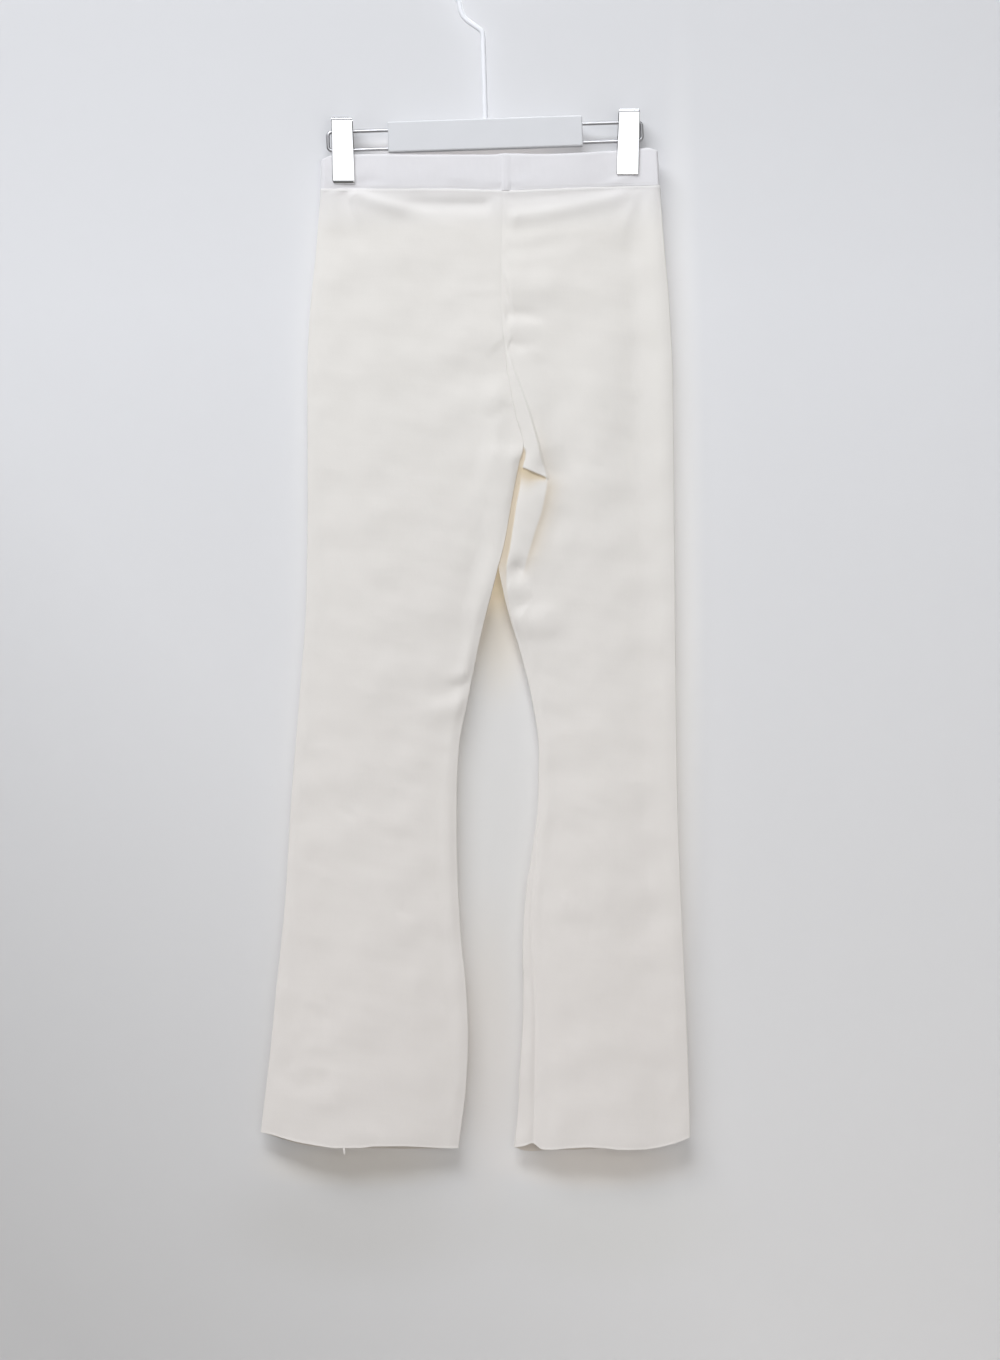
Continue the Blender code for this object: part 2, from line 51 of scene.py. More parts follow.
# ---------------------------------------------------------------- sizes, mm, as the solids have them
CLOTH = 1.1
BAND_CLOTH = 2.2
HALF_SEAM = 0.03
EDGE = 1.25                          # radius of the fold along a leg's or a side's edge
OPENS = 95.0                         # from its edge a leg opens to its full depth over this distance
WIRE_HOOK, WIRE_RAIL = 5.0, 3.4
HOOK_RADIUS = 29.0
BAR_LENGTH, BAR_HEIGHT, BAR_DEPTH = 194.5, 30.4, 9.0
BAR_CENTRE = (1.3, 174.4)
BAR_TILT = math.radians(1.9)
RAIL_SPREAD, RAIL_BELOW = 18.6, 2.0
CLIP_LENGTH, CLIP_TOP, CLIP_BOTTOM, CLIP_SHEET = 65.2, 20.8, 22.4, 0.9

# drop, left side, right side
SIDES = (
    (193, -162.2, 174.0), (200, -162.8, 174.8), (230, -163.6, 176.3), (265, -166.0, 178.5),
    (290, -168.0, 180.5), (340, -173.2, 185.0), (365, -175.0, 186.5), (415, -176.8, 188.7),
    (540, -176.5, 190.0), (640, -178.0, 191.0), (740, -185.0, 192.0), (840, -193.0, 193.5),
    (940, -199.0, 197.0), (1040, -209.0, 201.5), (1115, -216.0, 204.3), (1188, -223.5, 206.0),
)
# drop, left leg's inner edge, right leg's inner edge (just under the crotch it passes behind the left's)
INNER = (
    (190, 19.0, 19.0), (240, 18.3, 18.3), (340, 16.8, 16.8), (370, 18.4, 18.4), (392, 21.2, 21.2),
    (410, 22.8, 22.8), (425, 25.2, 25.2), (440, 28.0, 28.0), (460, 32.4, 32.4), (488, 39.6, 39.6),
    (500, 36.3, 35.0), (510, 34.2, 32.6), (540, 28.4, 26.8), (570, 23.4, 21.8), (590, 19.3, 17.8),
    (600, 16.7, 15.6), (607, 14.5, 14.6), (615, 12.6, 15.6), (630, 8.8, 18.8), (640, 6.2, 20.9), (660, 1.0, 26.4),
    (690, -6.0, 35.6), (740, -16.0, 47.8), (790, -25.0, 54.6), (840, -27.0, 54.0), (890, -26.8, 48.2),
    (965, -23.6, 39.2), (1040, -16.8, 38.8), (1078, -15.6, 37.6), (1115, -17.0, 35.8), (1188, -25.5, 30.5),
)
# drop, half depth
DEPTH = (
    (190, 4.9), (205, 5.4), (240, 6.6), (340, 7.8), (440, 8.6), (540, 8.4), (640, 8.0), (790, 7.4),
    (940, 8.0), (1040, 9.0), (1140, 10.6), (1190, 11.6),
)
# across, drop of the band's top edge, drop of its seam with the panels
BAND_EDGE = (
    (-163.0, 196.0, 229.0), (-130.0, 194.5, 229.2), (-60.0, 195.2, 229.3), (10.0, 195.2, 230.8),
    (20.0, 194.0, 231.3), (60.0, 194.6, 229.6), (97.0, 193.4, 228.4), (132.0, 190.8, 226.6),
    (174.0, 187.6, 226.0),
)
# share from the side to the inner edge, dip of left front, left back, right front, right back
HEM = (
    (0.00, -14.0, -14.0, -10.0, -10.0), (0.055, -12.0, -10.0, -6.0, -7.0), (0.11, -9.0, -6.0, -3.0, -4.0),
    (0.18, -5.6, -1.5, 0.0, -1.0), (0.28, -2.4, 2.2, 2.0, 1.0), (0.39, 0.0, 4.0, 2.0, 2.4),
    (0.50, 0.0, 4.4, 0.0, 4.0), (0.58, -1.6, 4.4, -0.4, 5.0), (0.69, -1.6, 4.6, 0.6, 5.4),
    (0.77, -1.0, 4.2, 2.0, 5.0), (0.84, 0.0, 3.6, 2.4, 5.4), (0.90, 1.0, 3.0, -3.4, 6.0),
    (0.95, 1.6, 2.4, -0.6, 5.0), (1.00, 2.0, 2.0, 1.0, 1.0),
)
# drop, distance of the right leg's inseam from its inner edge
INSEAM = (
    (800, 0.0), (840, 0.8), (875, 3.0), (940, 6.6), (991, 8.8), (1053, 12.2), (1116, 14.8), (1186, 18.4),
)
HEM_DROP = 1186.0
CLIP_MIDDLES = (-141.0, 144.2)


# ---------------------------------------------------------------- helpers
def column(table, at, index):
    """Smooth reading of one column of a table at a value of its first column."""
    xs = [row[0] for row in table]
    ys = [row[index] for row in table]
    if at <= xs[0]:
        return ys[0]
    if at >= xs[-1]:
        return ys[-1]
    i = max(k for k in range(len(xs) - 1) if xs[k] <= at)

    def slope(k):
        if k in (0, len(xs) - 1):
            j = min(k, len(xs) - 2)
            return (ys[j + 1] - ys[j]) / (xs[j + 1] - xs[j])
        before = (ys[k] - ys[k - 1]) / (xs[k] - xs[k - 1])
        after = (ys[k + 1] - ys[k]) / (xs[k + 1] - xs[k])
        if before * after <= 0:
            return 0.0
        return 2 * before * after / (before + after)

    step = xs[i + 1] - xs[i]
    t = (at - xs[i]) / step
    return (
        (2 * t**3 - 3 * t**2 + 1) * ys[i]
        + (t**3 - 2 * t**2 + t) * step * slope(i)
        + (3 * t**2 - 2 * t**3) * ys[i + 1]
        + (t**3 - t**2) * step * slope(i + 1)
    )


def columns(table, at, index):
    """The same reading for an array of values, through a fine list of the table's own values."""
    lo, hi = table[0][0], table[-1][0]
    fine = np.linspace(lo, hi, 400)
    return np.interp(at, fine, [column(table, f, index) for f in fine])


def ramp(start, end, at):
    t = np.clip((np.asarray(at, float) - start) / (end - start), 0.0, 1.0)
    return t * t * (3 - 2 * t)


def mix(a, b, t):
    return a + (b - a) * t


# ---------------------------------------------------------------- folds of the cloth
# A fold runs over a smooth curve through three points of the view. Its section is a soft hump:
# width a lies left of the way it runs (seen with v down), width b right of it.
# u0, v0, u1, v1, u2, v2, width a, width b, height, how much of its length fades in and out
FRONT_FOLDS = (
    # the pull of the band between the clips: a long hang on each side of the centre seam
    (351, 191, 386, 205.0, 442, 216, 5.0, 8.5, 2.6, 0.08, 0.40),
    (400, 209, 450, 223, 503, 226, 13.0, 17.0, 0.5, 0.45, 0.12),
    (396, 202.5, 448, 205, 497, 204.0, 5.6, 10.0, -2.9, 0.28, 0.16),
    (504, 219, 570, 209, 636, 191, 7.0, 9.0, 2.5, 0.10, 0.10),
    (504, 201, 545, 198, 600, 190, 3.4, 3.6, -0.5, 0.10, 0.50),
    # small hangs under it, right of the seam
    (504, 239, 545, 236, 592, 226, 5.0, 6.0, 0.45, 0.06, 0.55),
    (504, 252, 550, 247, 606, 236, 5.0, 6.5, -0.40, 0.06, 0.55),
    (504, 263, 545, 260, 596, 249, 6.0, 5.0, 0.25, 0.06, 0.60),
    (504, 291, 540, 288, 584, 298, 24.0, 18.0, 3.1, 0.10, 0.45),
    (504, 316, 526, 315, 552, 322, 6.0, 6.0, -1.3, 0.10, 0.50),
    (506, 330, 528, 328, 556, 332, 7.0, 11.0, 1.2, 0.12, 0.50),
    (508, 344, 520, 347, 540, 350, 6.0, 8.0, -0.9, 0.15, 0.50),
    (514, 356, 538, 356, 566, 372, 6.0, 9.0, 0.5, 0.20, 0.55),
    (512, 288, 470, 292, 438, 284, 4.0, 4.0, 0.3, 0.15, 0.60),
    (446, 312, 478, 328, 503, 346, 18.0, 18.0, 1.3, 0.45, 0.12),
    # the pinch of the clips
    (349, 190, 357, 212, 368, 240, 4.5, 4.5, 1.1, 0.08, 0.60),
    (343, 192, 348, 207, 355, 226, 3.6, 3.6, -0.9, 0.08, 0.60),
    (331, 190, 337, 222, 350, 268, 8.0, 7.0, 1.2, 0.08, 0.60),
    (638, 189, 630, 212, 613, 246, 5.0, 4.5, 1.2, 0.08, 0.60),
    (646, 188, 650, 210, 652, 250, 6.0, 6.0, 0.7, 0.08, 0.60),
    # long soft hangs down the hips and thighs
    (592, 320, 594, 440, 584, 620, 24.0, 19.0, 2.0, 0.30, 0.45),
    (556, 350, 552, 420, 558, 480, 12.0, 11.0, -0.8, 0.35, 0.45),
    (634, 216, 634, 360, 638, 560, 13.0, 15.0, -1.3, 0.20, 0.45),
    (666, 205, 671, 360, 672, 640, 7.0, 15.0, 1.1, 0.20, 0.45),
    (336, 230, 330, 340, 328, 520, 17.0, 12.0, 0.9, 0.20, 0.50),
    (376, 280, 372, 400, 366, 620, 19.0, 19.0, 0.8, 0.30, 0.40),
    (415, 240, 418, 300, 424, 360, 22.0, 22.0, -0.8, 0.30, 0.50),
    (440, 560, 438, 640, 436, 720, 26.0, 20.0, 0.7, 0.40, 0.40),
    # slack that gathers towards the crotch on the left half
    (499, 372, 496, 440, 487, 570, 10.0, 13.0, 2.0, 0.25, 0.35),
    (476, 451, 500, 457, 522, 461, 11.0, 34.0, 2.8, 0.50, 0.03),
    (486, 426, 497, 415, 510, 404, 8.0, 8.0, -1.0, 0.30, 0.25),
    (446, 352, 470, 376, 500, 390, 12.0, 14.0, -0.7, 0.40, 0.30),
    (482, 590, 474, 640, 462, 690, 8.0, 10.0, 0.9, 0.30, 0.30),
    # behind the left knee's inner edge
    (436, 679, 457, 676, 479, 668, 8.0, 5.5, 1.3, 0.45, 0.06),
    (448, 688, 463, 686, 479, 680, 4.5, 5.5, -0.8, 0.35, 0.06),
    (408, 714, 446, 708, 476, 699, 10.0, 14.0, 2.6, 0.45, 0.06),
    (420, 742, 446, 744, 470, 738, 8.0, 9.0, 0.6, 0.40, 0.30),
    # the left leg's long soft hangs, small wrinkles and the ripples above its hem
    (384, 650, 384, 780, 388, 910, 27.0, 27.0, -1.2, 0.35, 0.35),
    (452, 740, 449, 850, 456, 1000, 13.0, 15.0, 1.1, 0.30, 0.35),
    (316, 900, 320, 990, 332, 1080, 15.0, 15.0, -1.3, 0.35, 0.35),
    (356, 920, 360, 1000, 372, 1080, 14.0, 15.0, 1.0, 0.35, 0.40),
    (428, 920, 418, 990, 404, 1050, 13.0, 15.0, 0.8, 0.40, 0.40),
    (296, 752, 322, 748, 346, 758, 5.0, 6.0, 0.5, 0.40, 0.45),
    (332, 806, 346, 812, 362, 822, 5.0, 5.0, -0.6, 0.40, 0.40),
    (380, 840, 398, 838, 418, 833, 6.0, 7.0, -0.3, 0.40, 0.40),
    (390, 908, 404, 912, 418, 922, 5.0, 6.0, -0.6, 0.40, 0.40),
    (300, 862, 324, 874, 352, 884, 5.0, 6.0, 0.4, 0.40, 0.40),
    (300, 996, 314, 1002, 330, 1010, 5.0, 6.0, 0.5, 0.40, 0.40),
    (292, 1054, 318, 1045, 352, 1050, 7.0, 7.0, 0.4, 0.35, 0.40),
    (284, 1078, 312, 1067, 346, 1077, 6.0, 8.0, 0.7, 0.30, 0.40),
    (288, 1095, 310, 1084, 334, 1090, 6.0, 6.0, -0.4, 0.35, 0.40),
    (296, 1112, 322, 1101, 350, 1110, 9.0, 9.0, 0.5, 0.35, 0.40),
    # the right half below the crotch: slack thrown off towards the hip and the knee
    (566, 470, 566, 520, 556, 580, 11.0, 12.0, 1.0, 0.35, 0.35),
    (505, 589, 518, 590, 536, 582, 9.0, 12.0, 1.0, 0.20, 0.40),
    (512, 608, 534, 621, 568, 598, 14.0, 22.0, 3.6, 0.25, 0.35),
    (520, 634, 548, 640, 590, 622, 8.0, 10.0, -0.7, 0.30, 0.45),
    (566, 646, 584, 650, 606, 644, 6.0, 7.0, 0.4, 0.40, 0.40),
    (536, 690, 552, 702, 580, 706, 6.0, 7.0, 0.4, 0.35, 0.40),
    (540, 738, 560, 735, 590, 728, 6.0, 6.0, 0.6, 0.25, 0.50),
    (566, 796, 588, 808, 612, 812, 5.0, 6.0, 0.6, 0.35, 0.40),
    (610, 786, 634, 782, 664, 790, 6.0, 6.0, 0.5, 0.40, 0.40),
    (632, 700, 652, 690, 668, 684, 6.0, 6.0, 0.4, 0.40, 0.40),
    (560, 892, 572, 904, 584, 922, 5.0, 6.0, 0.8, 0.35, 0.40),
    (586, 930, 600, 936, 616, 928, 5.0, 6.0, 0.5, 0.35, 0.40),
    (576, 900, 600, 960, 616, 1060, 15.0, 14.0, -1.2, 0.35, 0.40),
    (550, 880, 556, 960, 566, 1050, 14.0, 12.0, 0.9, 0.35, 0.40),
    (560, 1060, 558, 1110, 556, 1150, 14.0, 9.0, 1.5, 0.45, 0.02),
    (648, 900, 654, 1000, 664, 1110, 16.0, 15.0, 0.8, 0.35, 0.35),
)
BACK_FOLDS = (
    (348, 190, 400, 208, 500, 216, 4.0, 7.0, 1.6, 0.10, 0.35),
    (360, 203, 410, 224, 490, 232, 6.0, 8.0, -1.4, 0.15, 0.4),
    (634, 189, 580, 203, 508, 216, 7.0, 4.0, 1.6, 0.10, 0.3),
    (618, 203, 565, 222, 508, 232, 8.0, 6.0, -1.4, 0.2, 0.3),
    (344, 190, 350, 204, 358, 224, 2.8, 2.8, 0.9, 0.1, 0.6),
    (352, 190, 358, 205, 366, 222, 2.6, 2.6, -0.6, 0.1, 0.6),
    (640, 188, 632, 204, 622, 226, 3.0, 3.0, 0.9, 0.1, 0.6),
    (632, 188, 624, 202, 614, 216, 3.0, 3.0, -0.7, 0.1, 0.6),
    (340, 220, 332, 310, 326, 430, 12.0, 12.0, 1.1, 0.3, 0.5),
    (372, 240, 374, 330, 380, 420, 16.0, 16.0, -0.8, 0.3, 0.5),
    (644, 220, 650, 310, 652, 430, 11.0, 11.0, 1.1, 0.3, 0.5),
    (610, 240, 606, 330, 598, 420, 16.0, 16.0, -0.8, 0.3, 0.5),
    # seat: slack under the seat's fullest part, running out from the crotch
    (440, 300, 430, 360, 440, 420, 26.0, 26.0, 2.4, 0.4, 0.4),
    (570, 300, 580, 360, 572, 420, 26.0, 26.0, 2.4, 0.4, 0.4),
    (500, 400, 455, 420, 392, 424, 8.0, 10.0, 1.6, 0.25, 0.5),
    (500, 418, 452, 442, 390, 446, 7.0, 8.0, -1.6, 0.25, 0.5),
    (514, 446, 462, 466, 386, 478, 8.0, 9.0, 1.9, 0.15, 0.5),
    (512, 466, 466, 488, 400, 506, 8.0, 8.0, -1.4, 0.2, 0.5),
    (526, 402, 566, 420, 628, 422, 10.0, 8.0, 1.5, 0.25, 0.5),
    (528, 420, 570, 442, 634, 446, 8.0, 7.0, -1.5, 0.25, 0.5),
    (534, 448, 580, 468, 640, 474, 9.0, 8.0, 1.8, 0.15, 0.5),
    (532, 470, 576, 490, 630, 504, 8.0, 8.0, -1.3, 0.2, 0.5),
    (500, 500, 478, 540, 440, 590, 9.0, 9.0, 1.2, 0.25, 0.5),
    (530, 500, 552, 546, 580, 590, 9.0, 9.0, 1.2, 0.25, 0.5),
    (470, 640, 448, 652, 404, 660, 7.0, 7.0, -1.0, 0.2, 0.5),
    (466, 660, 440, 672, 396, 684, 7.0, 8.0, 1.2, 0.2, 0.5),
    (462, 684, 436, 696, 392, 704, 7.0, 8.0, -0.8, 0.2, 0.5),
    (538, 652, 566, 662, 610, 664, 8.0, 7.0, 1.0, 0.25, 0.5),
    (540, 676, 570, 686, 612, 690, 8.0, 7.0, -0.8, 0.25, 0.5),
    (330, 560, 322, 700, 312, 880, 18.0, 18.0, 0.9, 0.4, 0.4),
    (400, 600, 398, 760, 400, 930, 20.0, 20.0, 0.9, 0.4, 0.4),
    (604, 600, 606, 760, 606, 930, 20.0, 20.0, 0.9, 0.4, 0.4),
    (656, 560, 656, 720, 660, 900, 16.0, 16.0, 0.8, 0.4, 0.4),
    (356, 930, 350, 1030, 340, 1130, 17.0, 17.0, -1.0, 0.4, 0.2),
    (416, 940, 424, 1040, 428, 1136, 15.0, 15.0, 1.0, 0.4, 0.2),
    (570, 930, 566, 1030, 560, 1136, 15.0, 15.0, 1.0, 0.4, 0.2),
    (632, 930, 640, 1030, 646, 1130, 17.0, 17.0, -1.0, 0.4, 0.2),
)
# The standing fold of spare cloth at the crotch, on the right front: a facet that rises from the seam
# to a sharp edge and ends below in a free lower edge. It stands on a softer shoulder, which goes on
# down the leg as a strip. v, u of the foot, u of the edge, height of the shoulder, of the facet on it
FLAP = (
    (345, 505.2, 505.8, 0.0, 0.0), (356, 505.6, 509.2, 0.3, 0.7), (370, 506.6, 512.9, 0.6, 1.3),
    (387, 509.4, 519.0, 0.8, 1.8), (402, 512.4, 524.4, 1.0, 2.2), (418, 515.8, 529.6, 1.3, 2.5),
    (440, 521.6, 535.8, 1.6, 2.9), (462, 522.8, 542.0, 2.0, 3.1), (478, 520.8, 546.2, 2.3, 3.1),
    (484, 520.4, 546.4, 2.5, 2.8), (500, 517.4, 543.8, 2.8, 1.6), (515, 515.4, 540.4, 2.8, 1.4),
    (528, 513.2, 536.0, 2.6, 1.2), (545, 510.6, 530.8, 2.0, 0.8), (560, 508.4, 526.4, 1.2, 0.4),
    (574, 506.6, 522.6, 0.4, 0.0), (586, 506.6, 520.0, 0.0, 0.0),
)
# The deep crease between the legs, left of both. v, u where it ends on the right, depth
SLIT = (
    (444, 521.0, 0.0), (449, 524.6, 0.8), (453, 525.8, 1.0), (458, 525.4, 1.0), (464, 523.6, 1.0),
    (470, 522.0, 1.0), (480, 520.8, 1.0), (490, 519.4, 1.0), (500, 517.4, 1.0), (510, 515.7, 1.0),
    (520, 514.2, 1.0), (530, 512.5, 1.0), (540, 511.0, 1.0), (550, 509.6, 1.0), (560, 507.5, 0.9),
    (568, 506.4, 0.7), (580, 506.4, 0.45), (600, 508.4, 0.25), (630, 516.0, 0.0),
)
FLAP_FOOT = 467.6                    # v of the fold's lower edge at the seam; it runs down to the right


def curve_points(u0, v0, u1, v1, u2, v2, count=25):
    t = np.linspace(0, 1, count)[:, None]
    a, b, c = np.array([u0, v0]), np.array([u1, v1]), np.array([u2, v2])
    bend = 2 * b - (a + c) / 2                     # the curve passes through the middle point
    return (1 - t) ** 2 * a + 2 * t * (1 - t) * bend + t**2 * c


def fold_height(folds, u, v):
    """Height of a layer's folds out of its plain form, for arrays of view coordinates."""
    out = np.zeros_like(u)
    for u0, v0, u1, v1, u2, v2, wide_a, wide_b, height, fade_in, fade_out in folds:
        path = curve_points(u0, v0, u1, v1, u2, v2)
        reach = 2.6 * max(wide_a, wide_b)
        near = (
            (u > path[:, 0].min() - reach) & (u < path[:, 0].max() + reach)
            & (v > path[:, 1].min() - reach) & (v < path[:, 1].max() + reach)
        )
        if not near.any():
            continue
        pu, pv = u[near], v[near]
        best = np.full(pu.shape, 1e9)
        side = np.zeros_like(pu)
        place = np.zeros_like(pu)
        for k in range(len(path) - 1):
            (ax, ay), (bx, by) = path[k], path[k + 1]
            dx, dy = bx - ax, by - ay
            size = dx * dx + dy * dy
            t = np.clip(((pu - ax) * dx + (pv - ay) * dy) / size, 0, 1)
            away = np.hypot(pu - ax - t * dx, pv - ay - t * dy)
            closer = away < best
            best = np.where(closer, away, best)
            cross = dx * (pv - ay) - dy * (pu - ax)
            side = np.where(closer, cross, side)
            place = np.where(closer, (k + t) / (len(path) - 1), place)
        wide = np.where(side < 0, wide_a, wide_b)
        ends = ramp(0, fade_in, place) * (1 - ramp(1 - fade_out, 1, place))
        out[near] += height * np.exp(-((best / wide) ** 2)) * ends
    return out


def drift(u, v, seed, scales, stretch=1.0):
    """Small even unevenness of the cloth: a sum of waves with seeded directions."""
    rng = random.Random(seed)
    out = np.zeros_like(u)
    for length, height in scales:
        for _ in range(5):
            angle = rng.uniform(0, math.pi)
            k = 2 * math.pi / (length * rng.uniform(0.75, 1.35))
            phase = rng.uniform(0, 2 * math.pi)
            out += height / 2.2 * np.sin(k * (math.cos(angle) * u + stretch * math.sin(angle) * v) + phase)
    return out


def flap_edge(u):
    """v of the standing fold's lower free edge."""
    return FLAP_FOOT + (u - 520.7) * 0.42


def slit_mask(u, v):
    """1 in the deep crease between the legs, 0 outside."""
    return (1 - ramp(-0.9, 0.9, u - columns(SLIT, v, 1))) * columns(SLIT, v, 2) * ramp(440, 446, v)


def pocket_mask(u, v, reach, power):
    """1 right under the standing fold's lower edge, fading down, and to nothing at its right corner."""
    under = v - flap_edge(u)
    reach = mix(reach, reach * 0.25, ramp(524, 546, u))
    return ramp(-0.5, 0.7, under) * np.exp(-np.clip(under / reach, 0, None) ** power) * (1 - ramp(544.0, 547.5, u)) * ramp(515, 518, u)


def groove_shade_mask(u, v):
    """Painted shade in the groove right of the fold and of the strip: 1 there, falling off to the right."""
    past = u - columns(FLAP, v, 2)
    down = ramp(395, 470, v) * (1 - ramp(545, 585, v)) * (0.40 + 0.60 * ramp(470, 492, v))
    return ramp(-1.0, 2.0, past) * np.exp(-((np.clip(past, 0, None) / 11.0) ** 1.5)) * down


def crotch_fold(u, v):
    left, edge, shoulder, facet = (columns(FLAP, v, k) for k in (1, 2, 3, 4))
    across = np.clip((u - left) / np.maximum(edge - left, 0.5), 0, 1)
    past = u - edge
    inside = ramp(-1.0, 1.4, u - left)
    free = 1 - ramp(-0.6, mix(0.7, 2.2, ramp(522, 542, u)), v - flap_edge(u))                       # 1 above the free lower edge
    facet = facet * (1.8 - 1.35 * ramp(446, 476, v) * ramp(524, 545, u))
    above = (shoulder + facet) * (0.10 + 0.90 * across)
    below = shoulder * np.sin(math.pi / 2 * np.clip(across * 1.15, 0, 1))
    rise = mix(below, above, free) * inside
    fall = shoulder * (1 - ramp(-3.0, 26.0, past)) + facet * (1 - 0.34 * ramp(-0.3, 3.0, past) - 0.66 * ramp(0, 44.0, past)) * mix(free, 1 - ramp(462, 478, v), ramp(0, 4, past))
    out = np.where(past < 0, rise, fall)
    groove = -0.8 * ramp(480, 500, v) * (1 - ramp(540, 562, v)) * np.exp(-(((past - 4.5) / 5.0) ** 2))
    foot = -0.5 * ramp(360, 420, v) * (1 - ramp(470, 490, v)) * np.exp(-(((u - left) / 6.0) ** 2))
    return out + groove + foot * free - 0.9 * pocket_mask(u, v, 13.0, 3.0)


def bump(u, v, cu, cv, ru, rv, height, turn=0.0):
    c, s = math.cos(math.radians(turn)), math.sin(math.radians(turn))
    x, y = (u - cu) * c + (v - cv) * s, -(u - cu) * s + (v - cv) * c
    return height * np.exp(-((x / ru) ** 2) - ((y / rv) ** 2))


def front_height(u, v, half):
    left = half == "left"                              # a fold belongs to the half that it lies in
    out = fold_height([f for f in FRONT_FOLDS if ((f[0] + f[2] + f[4]) / 3 < 500) == left], u, v)
    out += drift(u, v, 7, ((95, 0.40), (46, 0.16), (26, 0.05)), 1.5)
    if half == "right":
        out += bump(u, v, 517.5, 570.0, 9.0, 10.0, -4.2)      # dimple at the foot of the strip
    return out


def back_height(u, v, half):
    return fold_height(BACK_FOLDS, u, v) + drift(u, v, 19, ((100, 0.5), (48, 0.18), (26, 0.05)), 1.5)


BAND_FOLDS = (
    # the clips' pull on the band, front; each runs left to right
    (600, 184, 622, 179, 642, 168, 3.5, 4.0, 0.55, 0.4, 0.2),
    (606, 180, 620, 175, 634, 170, 3.0, 3.0, -0.40, 0.4, 0.2),
    (325, 172, 329, 181, 343, 187, 3.0, 3.0, 0.50, 0.3, 0.3),
    (352, 184, 372, 181, 398, 183, 3.5, 3.5, -0.35, 0.3, 0.5),
    (430, 176, 460, 179, 492, 184, 6.0, 5.0, 0.35, 0.5, 0.2),
    (512, 184, 540, 180, 570, 178, 5.0, 6.0, 0.30, 0.2, 0.5),
)


# ---------------------------------------------------------------- materials
def new_material(name):
    material = bpy.data.materials.new(name)
    material.use_nodes = True
    tree = material.node_tree
    return material, tree.nodes, tree.links, tree.nodes["Principled BSDF"]


def noise(nodes, links, scale, detail=3.0, rough=0.55, stretch=(1, 1, 1)):
    where = nodes.new("ShaderNodeTexCoord")
    turn = nodes.new("ShaderNodeMapping")
    turn.inputs["Scale"].default_value = stretch
    links.new(where.outputs["Object"], turn.inputs["Vector"])
    grain = nodes.new("ShaderNodeTexNoise")
    grain.inputs["Scale"].default_value = scale
    grain.inputs["Detail"].default_value = detail
    grain.inputs["Roughness"].default_value = rough
    links.new(turn.outputs["Vector"], grain.inputs["Vector"])
    return grain


def shade_between(nodes, links, factor, low, high, start=0.3, end=0.7):
    between = nodes.new("ShaderNodeValToRGB")
    between.color_ramp.elements[0].position = start
    between.color_ramp.elements[1].position = end
    between.color_ramp.elements[0].color = (*low, 1)
    between.color_ramp.elements[1].color = (*high, 1)
    links.new(factor, between.inputs["Fac"])
    return between.outputs["Color"]


def add_bump(nodes, links, shader, layers):
    """layers of (height socket, strength, distance), each bump feeding the next."""
    normal = None
    for height, strength, distance in layers:
        node = nodes.new("ShaderNodeBump")
        node.inputs["Strength"].default_value = strength
        node.inputs["Distance"].default_value = distance
        links.new(height, node.inputs["Height"])
        if normal:
            links.new(normal, node.inputs["Normal"])
        normal = node.outputs["Normal"]
    links.new(normal, shader.inputs["Normal"])


